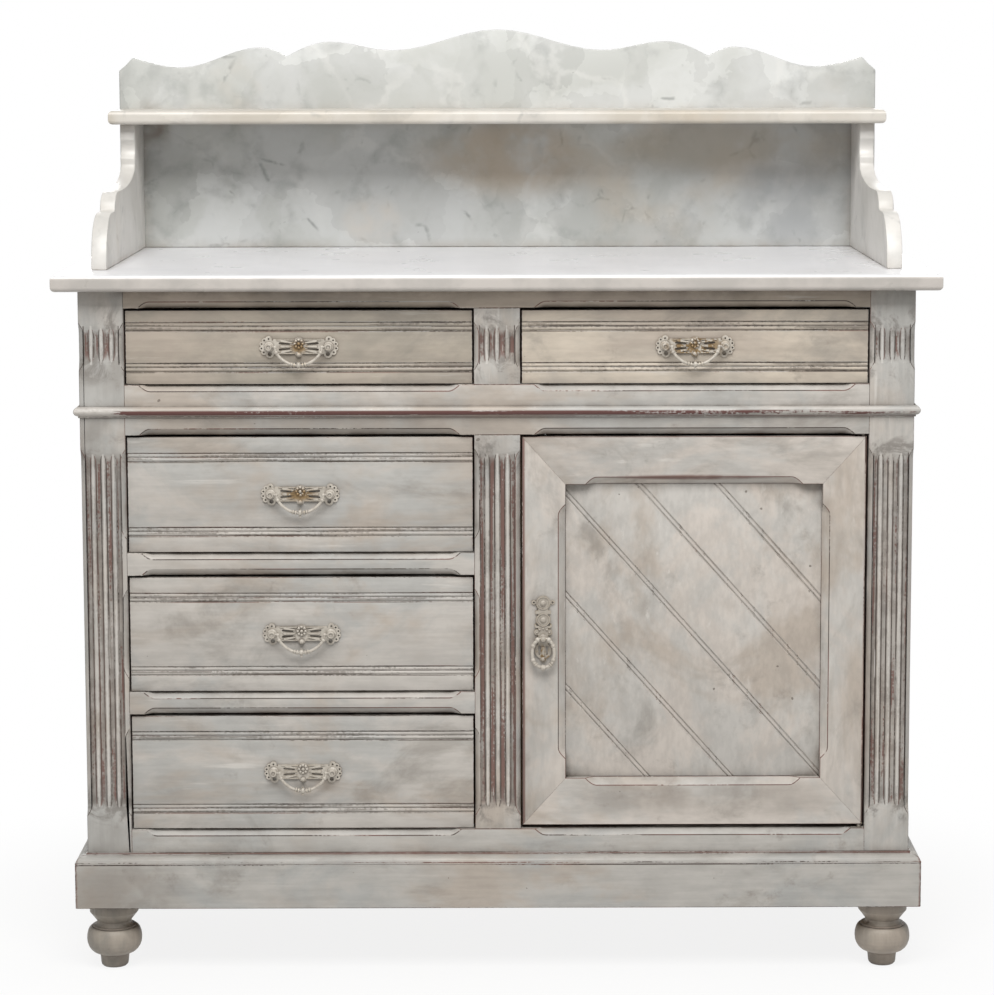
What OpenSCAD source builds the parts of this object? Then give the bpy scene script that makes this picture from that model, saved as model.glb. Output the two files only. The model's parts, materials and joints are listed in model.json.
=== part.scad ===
// Washstand with a marble top: a painted chest with two drawers over a stack
// of three drawers and a cupboard, under a marble slab, splashback and shelf.
// Millimetres, +Z up, front faces -Y. The origin is on the floor, under the
// middle of the marble top.

/* [Marble] */
// Width of the marble top
marble_w = 1067; // [960:1:1250]
// Depth of the marble top, front to back
marble_d = 520; // [480:1:600]
// Thickness of the marble top
marble_t = 20; // [15:1:30]
// Height of the marble surface above the floor
surface_h = 863; // [830:1:920]
// Radius on the long edges of the top and the shelf
marble_edge_r = 6; // [2:0.5:7]
// Overhang of the marble past each side of the carcass
side_overhang = 29; // [18:0.5:40]
// Overhang of the marble past the front of the carcass
front_overhang = 28; // [18:1:40]
// Overhang of the marble past the back of the carcass
back_overhang = 5; // [0:1:15]
// Thickness of the splashback
splash_t = 20; // [14:1:26]
// Height of the splashback at its crest
splash_h = 292; // [260:1:330]
// Distance from the end of the top to the end of the splashback
splash_inset = 25; // [15:1:40]
// Thickness of the shelf
shelf_t = 18; // [14:1:24]
// Depth of the shelf in front of the splashback
shelf_d = 126; // [115:1:150]
// Clear height between the top and the shelf
shelf_rise = 169; // [150:1:190]
// Thickness of the shelf brackets
bracket_t = 19; // [14:1:24]
// Distance from the end of the shelf to the face of the bracket
bracket_inset = 13; // [5:1:20]
// Distance from the front of the top to the toe of the bracket
bracket_setback = 87; // [60:1:110]

/* [Carcass] */
// Width of the corner stiles
stile_w = 54.5; // [50:0.5:70]
// Depth of the corner stiles and posts
stile_d = 50; // [40:1:60]
// Width of the middle stile between the openings
muntin_w = 56; // [52:1:70]
// Thickness of the front rails and the middle stile
rail_t = 26; // [22:1:32]
// Height of the rail over the upper drawers
top_rail_h = 22; // [20:1:32]
// Height of the opening of an upper drawer
upper_open_h = 92.5; // [80:0.5:110]
// Height of the rail that carries the waist moulding
frieze_h = 61.5; // [54:0.5:74]
// Height of each rail between two lower drawers
drawer_rail_h = 28; // [26:1:36]
// Height of the bottom rail that shows over the plinth
base_show = 28.5; // [26:0.5:38]
// Thickness of the boards inside the carcass
board_t = 16; // [12:1:20]
// Thickness of the upright partitions
partition_t = 20; // [16:1:24]
// Thickness of the side frames
side_t = 22; // [18:1:26]
// Thickness of the panels in the sides
side_panel_t = 12; // [8:1:14]
// Distance from the face of a side frame to its panel
side_panel_sink = 8; // [4:0.5:9]
// Height of the lower rail of a side frame
side_rail_h = 150; // [110:1:180]
// Thickness of the boards of the back
back_t = 12; // [9:1:16]
// Height of the rails behind the back boards
back_rail_h = 60; // [40:1:80]
// Thickness of the rails behind the back boards
back_rail_t = 22; // [16:1:26]
// Number of boards in the back
back_boards_n = 7; // [5:1:9]

/* [Plinth and feet] */
// Height of the feet
foot_h = 83; // [70:1:95]
// Radius of the bulb of a foot
foot_r = 34; // [30:0.5:38]
// Radius of the toe of a foot
toe_r = 18; // [14:0.5:22]
// Height of the toe of a foot
toe_h = 15; // [10:1:20]
// Radius of the neck over the bulb
neck_r = 21; // [17:0.5:24]
// Radius of the collar under the plinth
collar_r = 30; // [26:0.5:33]
// Distance from the corner of the plinth to the middle of a foot
foot_inset = 42; // [38:1:48]
// Height of the face of the plinth
plinth_h = 55; // [46:1:66]
// Thickness of the plinth boards
plinth_t = 14.5; // [12:0.5:20]
// Height of the moulding on the plinth
plinth_cap_h = 12.5; // [10:0.5:18]

/* [Waist moulding] */
// Height of the half-round waist moulding
waist_h = 12; // [10:0.5:18]
// How far the waist moulding stands out
waist_out = 7; // [5:0.5:9]
// Height of the waist moulding above the lower edge of its rail
waist_up = 23.5; // [20:0.5:30]

/* [Carving] */
// Leg of the stopped chamfers along the rails
rail_chamfer = 8; // [5:0.5:10]
// Leg of the stopped chamfers along the stiles
stile_chamfer = 6; // [4:0.5:6.5]
// Length of the curved run-out at the end of a stopped chamfer
chamfer_run = 14; // [8:1:18]
// Distance from a corner of an opening to the start of a chamfer
chamfer_stop = 17; // [14:1:26]
// Radius of the reeds on the stiles
reed_r = 3.1; // [2.5:0.1:3.4]
// Spacing of the reeds on the stiles
reed_pitch = 12.4; // [11:0.1:13]
// Width of the sunk field that holds the reeds
field_w = 42; // [38:0.5:42]
// Depth of the sunk field
field_depth = 3.5; // [2.5:0.1:4.5]
// Length of the slope at each end of the sunk field
field_ramp = 17; // [8:1:20]
// Height of the sunk field's foot above the foot of the opening beside it
field_low = 24; // [18:0.5:28]
// Distance from the sunk field's head down from the head of the opening
field_high = 20; // [16:0.5:28]

/* [Drawers] */
// Distance from the face of the carcass to the face of a drawer or the door
front_sink = 3; // [1:0.5:6]
// Thickness of the drawer fronts
front_t = 22; // [18:1:26]
// Gap at each end of a drawer
drawer_gap = 2; // [0.8:0.1:2.5]
// Gap over a drawer front
drawer_top_gap = 2.8; // [1:0.1:3.5]
// Gap under a drawer front
drawer_low_gap = 0.8; // [0.5:0.1:1.5]
// Running gap between a drawer and its runners
slide_gap = 0.3; // [0.2:0.1:0.5]
// Room behind a drawer
drawer_room = 22; // [14:1:40]
// Thickness of the drawer sides
side_board_t = 10; // [8:0.5:12]
// Thickness of the drawer backs
drawer_back_t = 12; // [9:0.5:14]
// Thickness of the drawer bottoms
drawer_bottom_t = 6; // [4:0.5:8]
// Height of the drawer bottom above the lower edge of the side
drawer_bottom_up = 9; // [6:0.5:12]
// Depth of the grooves that hold the drawer bottom
drawer_groove = 5; // [3:0.5:6]
// How far the drawer sides stop below the opening
side_drop = 6; // [4:0.5:10]
// Length of the dovetails
tail_len = 15; // [10:0.5:17]
// Distance from the edge of an upper drawer front to its reeds
upper_bead_in = 14.5; // [10:0.5:20]
// Distance from the edge of a lower drawer front to its reeds
lower_bead_in = 19.5; // [14:0.5:28]
// Width of one of the two reeds across a drawer front
bead_w = 5.2; // [3.5:0.1:6]
// Depth of the quirks beside those reeds
bead_quirk = 1.8; // [1:0.1:2.5]
// Thickness of the runners under the drawers
runner_t = 20; // [14:1:26]
// Height of the guides beside the drawers
guide_h = 30; // [20:1:40]
// Width of the ledge that a drawer side rides on
runner_ledge = 14; // [12:1:20]

/* [Door] */
// Width of the door stiles
door_stile_w = 53; // [46:0.5:58]
// Height of the door rails
door_rail_h = 58.5; // [50:0.5:64]
// Thickness of the door
door_t = 22; // [20:1:26]
// Gap under the door
door_low_gap = 4.2; // [2:0.1:6]
// Leg of the stopped chamfers round the door panel
door_chamfer = 9; // [6:0.5:9]
// Distance from the face of the door to its panel
panel_sink = 10; // [9.5:0.5:11]
// Thickness of the door panel
panel_t = 8; // [6:0.5:8]
// Depth of the groove that holds the panel
panel_groove = 7; // [5:0.5:9]
// Angle of the grooves across the panel
panel_angle = 48.3; // [40:0.1:55]
// Distance between the two grooves of a pair
panel_pair = 5; // [4:0.5:7]
// Depth of the grooves across the panel
panel_quirk = 1.3; // [1:0.1:2.2]
// Radius of the pins that the door turns on
pin_r = 2.5; // [2:0.1:3]
// Radial clearance round a turning pin
pin_fit = 0.05; // [0.02:0.01:0.1]
// Distance from the door's edge and face to its pin
pin_inset = 4.2; // [4:0.1:5]
// Length of a hinge pin inside the door
pin_len = 12; // [8:1:18]
// Thickness of the pivot plates
plate_t = 2; // [1.5:0.1:3]

/* [Pulls] */
// Thickness of the pull plates
pull_t = 2; // [1.5:0.1:3]
// Distance between the two posts of a drawer pull
post_span = 72; // [64:1:80]
// Radius of the posts
post_r = 4.2; // [3.6:0.1:5]
// Distance from the drawer face to the pivots of the bail
post_reach = 10; // [8:0.5:14]
// Distance between the arms of the bail
bail_w = 57; // [50:1:58]
// Drop of the bail below its pivots
bail_drop = 22; // [18:0.5:24]
// Radius of the bail
bail_r = 1.8; // [1.7:0.1:2.6]
// Radius of the pins at the ends of the bail and ring
bail_pin_r = 1.5; // [1.2:0.1:1.6]
// Radius of the rosettes at the ends of a drawer pull
rosette_r = 8.5; // [8:0.5:10]
// Height of the door pull
door_pull_h = 83; // [76:1:94]
// Height of the ring's pivot above the floor
ring_pivot_h = 417; // [380:1:450]
// Distance from the door's edge to the middle of its pull
pull_in = 25.5; // [22:0.5:28]
// Height of the ball catch above the ring's pivot
catch_up = 106; // [90:1:140]
// Width of the door's ring, between the middles of its sides
ring_w = 27; // [22:0.5:30]
// Height of the door's ring, from its pivot to the middle of its foot
ring_h = 35.5; // [34:0.5:40]

/* [Hidden] */
$fn = 32;

// Small distances: overshoot of a cut, glue line, seat of a loose panel
over = 1;
glue = 0.1;
seat = 0.2;

// Planes of the carcass
x_out = marble_w / 2 - side_overhang;
x_open = x_out - stile_w;
x_mid = muntin_w / 2;
x_in = x_out - side_t;
y_front = -marble_d / 2 + front_overhang;
y_back = marble_d / 2 - back_overhang;
y_rail = y_front + rail_t;
y_stile = y_front + stile_d;
y_post = y_back - stile_d;
y_boards = y_back - back_t;
z_top = surface_h - marble_t;
z_upper1 = z_top - top_rail_h;
z_upper0 = z_upper1 - upper_open_h;
z_lower1 = z_upper0 - frieze_h;
z_cap = foot_h + plinth_h;
z_lower0 = z_cap + plinth_cap_h + base_show;
z_waist = z_lower1 + waist_up;

// The three lower drawers share the height of the cupboard
lower_open_h = (z_lower1 - z_lower0 - 2 * drawer_rail_h) / 3;
z_third = z_lower0;
z_second = z_third + lower_open_h + drawer_rail_h;
z_first = z_second + lower_open_h + drawer_rail_h;

// Each drawer: side of the carcass, foot of its opening, height of it, reeds
UPPER_LEFT = [-1, z_upper0, upper_open_h, upper_bead_in, 2];
UPPER_RIGHT = [1, z_upper0, upper_open_h, upper_bead_in, 2];
FIRST = [-1, z_first, lower_open_h, lower_bead_in, 3];
SECOND = [-1, z_second, lower_open_h, lower_bead_in, 3];
THIRD = [-1, z_third, lower_open_h, lower_bead_in, 3];

// Faces and edges of the drawers and the door
open_w = x_open - x_mid;
x_open_mid = (x_open + x_mid) / 2;
y_face = y_front + front_sink;
y_drawer_end = y_boards - back_rail_t - drawer_room;
door_x0 = x_mid + drawer_gap;
door_x1 = x_open - drawer_gap;
door_z0 = z_lower0 + door_low_gap;
door_z1 = z_lower1 - drawer_top_gap;
pin_x = door_x1 - pin_inset;
pin_y = y_face + pin_inset;
edge_ease = 1.5;

// Marble colours and wood colours
MARBLE = [0.90, 0.90, 0.89];
PAINT = [0.80, 0.77, 0.72];
PAINT_GREY = [0.76, 0.75, 0.72];
RAW_WOOD = [0.62, 0.45, 0.30];
BRASS = [0.78, 0.70, 0.55];

// A block between two corners
module block(x0, x1, y0, y1, z0, z1) {
    translate([x0, y0, z0])
        cube([x1 - x0, y1 - y0, z1 - z0]);
}

// Extrudes a profile drawn in Y and Z along X, from x0 to x1
module along_x(x0, x1) {
    translate([x0, 0, 0])
        rotate([90, 0, 90])
            linear_extrude(x1 - x0)
                children();
}

// Extrudes a profile drawn in X and Z along Y, from y0 to y1
module along_y(y0, y1) {
    translate([0, y1, 0])
        rotate([90, 0, 0])
            linear_extrude(y1 - y0)
                children();
}

// Shows a piece and its mirror image about the middle plane
module both_sides() {
    children();
    mirror([1, 0, 0])
        children();
}

// A list of points in the opposite order
function reversed(v) = [for (i = [len(v) - 1 : -1 : 0]) v[i]];

// Points of a circular arc
function arc(c, r, a0, a1, n = 6) =
    [for (i = [0 : n]) c + r * [cos(a0 + (a1 - a0) * i / n), sin(a0 + (a1 - a0) * i / n)]];

// ---------------------------------------------------------------- marble

splash_half = marble_w / 2 - splash_inset;
y_splash = marble_d / 2 - splash_t;
z_shelf = surface_h + shelf_rise;
bracket_out = splash_half - bracket_inset;
bracket_d = marble_d - splash_t - bracket_setback;

// The rounded edge of a slab that faces u = 0, from its top to its foot
function slab_edge(t, r) = concat(arc([r, t - r], r, 90, 180), arc([r, r], r, 180, 270));

// A slab as wide as two halves, rounded on its front and both ends
module edged_slab(half_w, y0, y1, z0, t, r) {
    edge = slab_edge(t, r);
    intersection() {
        along_x(-half_w - over, half_w + over)
            translate([y0, z0])
                polygon(concat([[y1 - y0, 0], [y1 - y0, t]], edge));
        along_y(y0 - over, y1 + over)
            translate([0, z0])
                polygon(concat([for (p = edge) [p[0] - half_w, p[1]]],
                    [for (p = reversed(edge)) [half_w - p[0], p[1]]]));
    }
}

module marble_top() {
    color(MARBLE)
        edged_slab(marble_w / 2, -marble_d / 2, marble_d / 2, z_top, marble_t, marble_edge_r);
}

// The crest from the middle to the end: share of the half width, drop below
// the crest, and how the curve runs there from the point before
// (0 rises and settles level, 1 leaves level and arrives steep, 2 leaves
// steep and settles level, 3 runs straight)
crest = [[0, 0, 0], [0.277, 27.5, 0], [0.444, 16, 0], [0.557, 35.4, 1], [0.628, 23.4, 2],
    [0.836, 50, 0], [0.964, 37.3, 1], [0.982, 47, 3], [1, 54.5, 3]];
crest_steps = 7;
function ease(kind, t) =
    kind == 0 ? (1 - cos(180 * t)) / 2 :
    kind == 1 ? 1 - cos(90 * t) :
    kind == 2 ? sin(90 * t) : t;
function crest_steps_of(kind) = kind == 3 ? 1 : crest_steps;
function crest_half() = concat([[0, 0]], [for (k = [1 : len(crest) - 1])
    let (a = crest[k - 1], b = crest[k], n = crest_steps_of(b[2]))
    for (i = [1 : n]) [a[0] + (b[0] - a[0]) * i / n, a[1] + (b[1] - a[1]) * ease(b[2], i / n)]]);
function crest_at(side) = [for (p = crest_half())
    [side * p[0] * splash_half, surface_h + splash_h - p[1]]];

module splashback() {
    left = reversed(crest_at(-1));
    right = crest_at(1);
    color(MARBLE)
        along_y(y_splash, y_splash + splash_t)
            polygon(concat([[-splash_half, surface_h]], left,
                [for (i = [1 : len(right) - 1]) right[i]], [[splash_half, surface_h]]));
}

module marble_shelf() {
    color(MARBLE)
        edged_slab(splash_half, y_splash - shelf_d, y_splash, z_shelf, shelf_t, marble_edge_r);
}

// Points of a quarter of an ellipse from one corner to the other: it leaves
// upright and arrives level where level_first is false
function quarter(from, to, level_first, n = 6) = [for (i = [0 : n])
    let (a = 90 * i / n)
    [from[0] + (to[0] - from[0]) * (level_first ? sin(a) : 1 - cos(a)),
        from[1] + (to[1] - from[1]) * (level_first ? 1 - cos(a) : sin(a))]];

// Outline of a bracket: u runs forward from the splashback, v runs up. From
// the toe it has a round lobe, a nose, a swept ledge and a cusp at the shelf.
bracket_top_d = 105;
lobe_d = 59;
lobe_h = 67;
nose_d = bracket_d - lobe_d - 29;
nose_run = 39;
ledge_h = 90;
ledge_d = nose_d - 74;
cusp_h = 116;
cusp_r = 15;
cusp_from = 236;
cusp_to = 128;
module bracket_outline() {
    polygon(concat(
        [[0, 0]],
        quarter([bracket_d, 0], [bracket_d - lobe_d, lobe_h], false),
        [[nose_d, lobe_h]],
        quarter([nose_d - 5, lobe_h + 2], [nose_d - nose_run, ledge_h], false),
        quarter([ledge_d, ledge_h], [bracket_top_d, cusp_h], true),
        arc([bracket_top_d + 10, cusp_h + 21], cusp_r, cusp_from, cusp_to, 4),
        [[bracket_top_d, shelf_rise], [0, shelf_rise]]));
}

module bracket(side) {
    color(MARBLE)
        translate([side * (bracket_out - bracket_t / 2), y_splash, surface_h])
            rotate([90, 0, -90])
                translate([0, 0, -bracket_t / 2])
                    linear_extrude(bracket_t)
                        bracket_outline();
}

// ---------------------------------------------------------------- carving

// Cuts a stopped chamfer along +X from the origin: depth runs along +Y, and
// both ends curve out to the edge
module stopped_cut(len, leg) {
    depth = leg / sqrt(2);
    steps = 5;
    linear_extrude(2 * depth + 2 * over, center = true)
        polygon(concat([[0, -over]],
            [for (i = [0 : steps]) [chamfer_run * i / steps, depth * sin(90 * i / steps)]],
            [for (i = [steps : -1 : 0]) [len - chamfer_run * i / steps, depth * sin(90 * i / steps)]],
            [[len, -over]]));
}

// A stopped chamfer on a level edge, between two stops
module rail_cut(x0, x1, z, leg, wood_above) {
    translate([x0 + chamfer_stop, y_front, z])
        rotate([wood_above ? 45 : -45, 0, 0])
            stopped_cut(x1 - x0 - 2 * chamfer_stop, leg);
}

// A stopped chamfer on an upright edge, between two stops
module stile_cut(x, z0, z1, leg, wood_right) {
    translate([x, y_front, z0 + chamfer_stop])
        rotate([0, 0, wood_right ? -45 : 45])
            rotate([0, -90, 0])
                stopped_cut(z1 - z0 - 2 * chamfer_stop, leg);
}

// The sunk field in the face of a stile, with sloping ends
module field_cut(x, z0, z1) {
    along_x(x - field_w / 2, x + field_w / 2)
        translate([y_front, 0])
            polygon([[-over, z0], [-over, z1], [0, z1], [field_depth, z1 - field_ramp],
                [field_depth, z0 + field_ramp], [0, z0]]);
}

// Three reeds that stand in the sunk field and run out into its sloping ends
module reeds(x, z0, z1) {
    for (i = [-1 : 1])
        translate([x + i * reed_pitch, y_front + field_depth, z0])
            cylinder(r = reed_r, h = z1 - z0);
}

// Ends of the two sunk fields
field_upper = [z_upper0 + field_low, z_upper1 - field_high];
field_lower = [z_lower0 + field_low, z_lower1 - field_high];

// ---------------------------------------------------------------- carcass

// The side panels and the grooves that hold them
panel_in = 8;
side_z0 = foot_h + side_rail_h;
panel_x1 = x_out - side_panel_sink;
module side_panel(grow) {
    block(panel_x1 - side_panel_t - grow, panel_x1 + grow,
        y_stile - panel_in - grow, y_post + panel_in + grow,
        side_z0 - panel_in - grow, z_lower1 + panel_in + grow);
}

// A corner stile drawn on the right: chamfers, reeds and the panel's groove
module corner_stile() {
    x = (x_open + x_out) / 2;
    difference() {
        block(x_open, x_out, y_front, y_stile, foot_h, z_top);
        field_cut(x, field_upper[0], field_upper[1]);
        field_cut(x, field_lower[0], field_lower[1]);
        stile_cut(x_out, z_upper0, z_upper1, stile_chamfer, false);
        stile_cut(x_out, z_lower0, z_lower1, stile_chamfer, false);
        stile_cut(x_open, z_upper0, z_upper1, stile_chamfer, true);
        side_panel(seat);
        children();
    }
    reeds(x, field_upper[0], field_upper[1]);
    reeds(x, field_lower[0], field_lower[1]);
}

module front_stile_left() {
    color(PAINT)
        mirror([1, 0, 0])
            corner_stile()
                for (z = [z_first, z_second, z_third])
                    stile_cut(x_open, z, z + lower_open_h, stile_chamfer, true);
}

module front_stile_right() {
    color(PAINT)
        corner_stile()
            stile_cut(x_open, z_lower0, z_lower1, stile_chamfer, true);
}

module muntin_upper() {
    color(PAINT) {
        difference() {
            block(-x_mid, x_mid, y_front, y_rail, z_upper0, z_upper1);
            field_cut(0, field_upper[0], field_upper[1]);
            stile_cut(-x_mid, z_upper0, z_upper1, stile_chamfer, true);
            stile_cut(x_mid, z_upper0, z_upper1, stile_chamfer, false);
        }
        reeds(0, field_upper[0], field_upper[1]);
    }
}

module muntin_lower() {
    color(PAINT) {
        difference() {
            block(-x_mid, x_mid, y_front, y_rail, z_lower0, z_lower1);
            field_cut(0, field_lower[0], field_lower[1]);
            for (z = [z_first, z_second, z_third])
                stile_cut(-x_mid, z, z + lower_open_h, stile_chamfer, true);
            stile_cut(x_mid, z_lower0, z_lower1, stile_chamfer, false);
            strike(seat);
        }
        reeds(0, field_lower[0], field_lower[1]);
    }
}

// A front rail between the corner stiles with its chamfers cut away
module wide_rail(z0, z1, cut_low, cut_high) {
    difference() {
        block(-x_open, x_open, y_front, y_rail, z0, z1);
        for (side = [0, 1])
            mirror([side, 0, 0]) {
                if (cut_low)
                    rail_cut(x_mid, x_open, z0, rail_chamfer, true);
                if (cut_high)
                    rail_cut(x_mid, x_open, z1, rail_chamfer, false);
            }
        children();
    }
}

module top_rail() {
    color(PAINT)
        wide_rail(z_upper1, z_top, true, false);
}

module frieze_rail() {
    color(PAINT)
        wide_rail(z_lower1, z_upper0, true, true)
            hinge_plate(z_lower1, 1, seat, over);
}

module bottom_rail() {
    color(PAINT_GREY)
        wide_rail(foot_h, z_lower0, false, true)
            hinge_plate(z_lower0, -1, seat, over);
}

// A rail between two of the lower drawers
module drawer_rail(z0) {
    color(PAINT)
        difference() {
            block(-x_open, -x_mid, y_front, y_stile, z0, z0 + drawer_rail_h);
            rail_cut(-x_open, -x_mid, z0, rail_chamfer, true);
            rail_cut(-x_open, -x_mid, z0 + drawer_rail_h, rail_chamfer, false);
        }
}

// A moulding round the front and both sides, mitred at its corners: the
// profile is drawn with u out from the carcass and v up
module wrapped_moulding(out) {
    reach = out + over;
    // front length, clipped by both mitres
    intersection() {
        along_x(-x_out - out, x_out + out)
            translate([y_front, 0])
                mirror([1, 0])
                    children();
        linear_extrude(surface_h)
            polygon([[-x_out - reach, y_front - reach], [x_out + reach, y_front - reach],
                [x_out, y_front], [x_out, y_front + over], [-x_out, y_front + over], [-x_out, y_front]]);
    }
    // side lengths
    for (side = [0, 1])
        mirror([side, 0, 0])
            intersection() {
                along_y(y_front - out, y_back)
                    translate([x_out, 0])
                        children();
                linear_extrude(surface_h)
                    polygon([[x_out - over, y_front + glue], [x_out, y_front + glue],
                        [x_out + reach, y_front - reach + glue], [x_out + reach, y_back],
                        [x_out - over, y_back]]);
            }
}

// Half-round band over a small fillet
module waist_profile() {
    fillet = 1.8;
    polygon(concat([[0, z_waist - fillet], [fillet, z_waist - fillet], [fillet, z_waist]],
        [for (i = [1 : 9]) [waist_out * sin(18 * i), z_waist + waist_h / 2 - waist_h / 2 * cos(18 * i)]],
        [[0, z_waist + waist_h]]));
}

module waist_moulding() {
    color(PAINT)
        wrapped_moulding(waist_out)
            waist_profile();
}

// Fillet, ovolo and top fillet that step from the plinth in to the carcass
module plinth_cap_profile() {
    lip = 2.5;
    rise = plinth_cap_h - 2 * lip;
    run = plinth_t - 3;
    polygon(concat([[0, z_cap], [plinth_t, z_cap], [plinth_t, z_cap + lip]],
        [for (i = [0 : 6]) [2 + run * cos(15 * i), z_cap + lip + rise * sin(15 * i)]],
        [[2, z_cap + plinth_cap_h], [0, z_cap + plinth_cap_h]]));
}

module plinth_moulding() {
    color(PAINT_GREY)
        wrapped_moulding(plinth_t)
            plinth_cap_profile();
}

module plinth_boards() {
    color(PAINT_GREY)
        wrapped_moulding(plinth_t)
            translate([0, foot_h])
                square([plinth_t, plinth_h]);
}

// A turned foot from the floor up: rounded toe, ring, bulb, ring, neck, and a
// flare to the collar under the plinth
toe_round = 5;
ring_t = 2;
bulb_mid = 0.43 * foot_h;
bulb_top = 0.61 * foot_h;
bulb_top_r = (foot_r + neck_r) / 2;
neck_z = 0.7 * foot_h;
collar_z = 0.84 * foot_h;
function ring(r, z) =
    [[r, z], [r + ring_t / 2, z + ring_t / 4], [r + ring_t / 2, z + 0.75 * ring_t], [r, z + ring_t]];
module foot(x, y) {
    translate([x, y, 0])
        rotate_extrude()
            polygon(concat([[0, 0]],
                quarter([toe_r - 1 - toe_round, 0], [toe_r - 1, toe_round], true, 3),
                ring(toe_r, toe_h),
                quarter([toe_r + 0.5, toe_h + ring_t], [foot_r, bulb_mid], true),
                quarter([foot_r, bulb_mid], [bulb_top_r + 0.5, bulb_top], false),
                ring(bulb_top_r - 1.5, bulb_top),
                quarter([bulb_top_r - 2, bulb_top + ring_t], [neck_r, neck_z], true, 3),
                [[collar_r, collar_z], [collar_r, foot_h], [0, foot_h]]));
}

module feet() {
    foot_x = x_out + plinth_t - foot_inset;
    color(PAINT_GREY)
        both_sides() {
            foot(foot_x, y_front - plinth_t + foot_inset);
            foot(foot_x, y_back - foot_inset);
        }
}

module rear_posts() {
    color(PAINT)
        both_sides()
            difference() {
                block(x_open, x_out, y_post, y_back, foot_h, z_top);
                side_panel(seat);
            }
}

module side_rails() {
    color(PAINT)
        both_sides()
            difference() {
                union() {
                    block(x_in, x_out, y_stile, y_post, foot_h, side_z0);
                    block(x_in, x_out, y_stile, y_post, z_lower1, z_top);
                }
                side_panel(seat);
            }
}

module side_panel_right() {
    color(PAINT)
        side_panel(0);
}

module side_panel_left() {
    color(PAINT)
        mirror([1, 0, 0])
            side_panel(0);
}

module back_rails() {
    color(RAW_WOOD) {
        block(-x_open, x_open, y_boards - back_rail_t, y_boards, foot_h, foot_h + back_rail_h);
        block(-x_open, x_open, y_boards - back_rail_t, y_boards, z_top - back_rail_h, z_top);
    }
}

// Upright boards with a thin shadow gap between them
module back_boards() {
    gap = 0.6;
    pitch = 2 * x_open / back_boards_n;
    color(RAW_WOOD)
        for (i = [0 : back_boards_n - 1])
            block(-x_open + i * pitch + gap / 2, -x_open + (i + 1) * pitch - gap / 2,
                y_boards, y_back, foot_h, z_top);
}

// A board across the whole carcass, notched round the stiles and posts
module carcass_board(z0) {
    difference() {
        block(-x_in, x_in, y_rail, y_boards, z0, z0 + board_t);
        both_sides() {
            block(x_open, x_in + over, y_rail - over, y_stile, z0 - over, z0 + board_t + over);
            block(x_open, x_in + over, y_post, y_boards + over, z0 - over, z0 + board_t + over);
        }
    }
}

module deck_board() {
    color(RAW_WOOD)
        carcass_board(z_upper0 - board_t);
}

module floor_board() {
    color(RAW_WOOD)
        carcass_board(z_lower0 - board_t);
}

module partitions() {
    half = partition_t / 2;
    color(RAW_WOOD) {
        block(-half, half, y_rail, y_boards, z_lower0, z_upper0 - board_t);
        block(-half, half, y_rail, y_boards - back_rail_t, z_upper0, z_top);
    }
}

// A runner and its guide, drawn left of a drawer: wall at x0, drawer at x1
module runner(x0, x1, z) {
    along_y(y_stile, y_post)
        polygon([[x0, z - runner_t], [x1 + runner_ledge, z - runner_t], [x1 + runner_ledge, z],
            [x1, z], [x1, z + guide_h], [x0, z + guide_h]]);
}

module drawer_runners() {
    wall = partition_t / 2;
    color(RAW_WOOD) {
        for (z = [z_first, z_second]) {
            runner(-x_in, -x_open, z);
            mirror([1, 0, 0])
                runner(wall, x_mid, z);
        }
        block(-x_in, -x_open, y_stile, y_post, z_third, z_third + guide_h);
        block(-x_mid, -wall, y_stile, y_post, z_third, z_third + guide_h);
        both_sides() {
            block(x_open, x_in, y_stile, y_post, z_upper0, z_upper0 + guide_h);
            block(wall, x_mid, y_stile, y_post, z_upper0, z_upper0 + guide_h);
        }
    }
}

module door_stop() {
    stop_w = 12;
    color(RAW_WOOD)
        block(partition_t / 2, door_x0 + stop_w, y_face + door_t + 1, y_face + door_t + 1 + board_t,
            z_lower0, z_lower1);
}

// ---------------------------------------------------------------- hinges

// A pivot plate let into a rail, from the rail's edge z in to its far face;
// open is how far a recess for it runs out past that edge
plate_reach = 10;
module hinge_plate(z, dir, grow, open) {
    in = z + dir * (plate_t + grow);
    out = z - dir * open;
    block(pin_x - plate_reach - grow, x_open + grow, y_face + 0.5 - grow, pin_y + 4 + grow,
        min(in, out), max(in, out));
}

module hinge_pins() {
    color(BRASS) {
        hinge_plate(z_lower1, 1, 0, 0);
        translate([pin_x, pin_y, door_z1 - pin_len])
            cylinder(r = pin_r, h = z_lower1 - door_z1 + pin_len);
        hinge_plate(z_lower0, -1, 0, 0);
        translate([pin_x, pin_y, z_lower0])
            cylinder(r = pin_r, h = door_z0 - z_lower0 + pin_len);
    }
}

// The plates in the bottom and top edges of the door, round the pins; open is
// how far a recess for them runs out past the edges
module door_plate_body(grow, open) {
    x0 = pin_x - plate_reach - grow;
    x1 = door_x1 - 0.5 + grow;
    y0 = y_face + 1 - grow;
    y1 = pin_y + 4 + grow;
    block(x0, x1, y0, y1, door_z0 - open, door_z0 + plate_t + grow);
    block(x0, x1, y0, y1, door_z1 - plate_t - grow, door_z1 + open);
}

module pivot_plates() {
    color(BRASS)
        difference() {
            door_plate_body(0, 0);
            translate([pin_x, pin_y, door_z0 - over])
                cylinder(r = pin_r + pin_fit, h = door_z1 - door_z0 + 2 * over);
        }
}

// Room in the wood for the plates and the pins
module hinge_room() {
    door_plate_body(seat, over);
    for (z = [door_z0 - over, door_z1 - pin_len - 1])
        translate([pin_x, pin_y, z])
            cylinder(r = pin_r + 0.5, h = pin_len + 1 + over);
}

// ---------------------------------------------------------------- drawers

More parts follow.
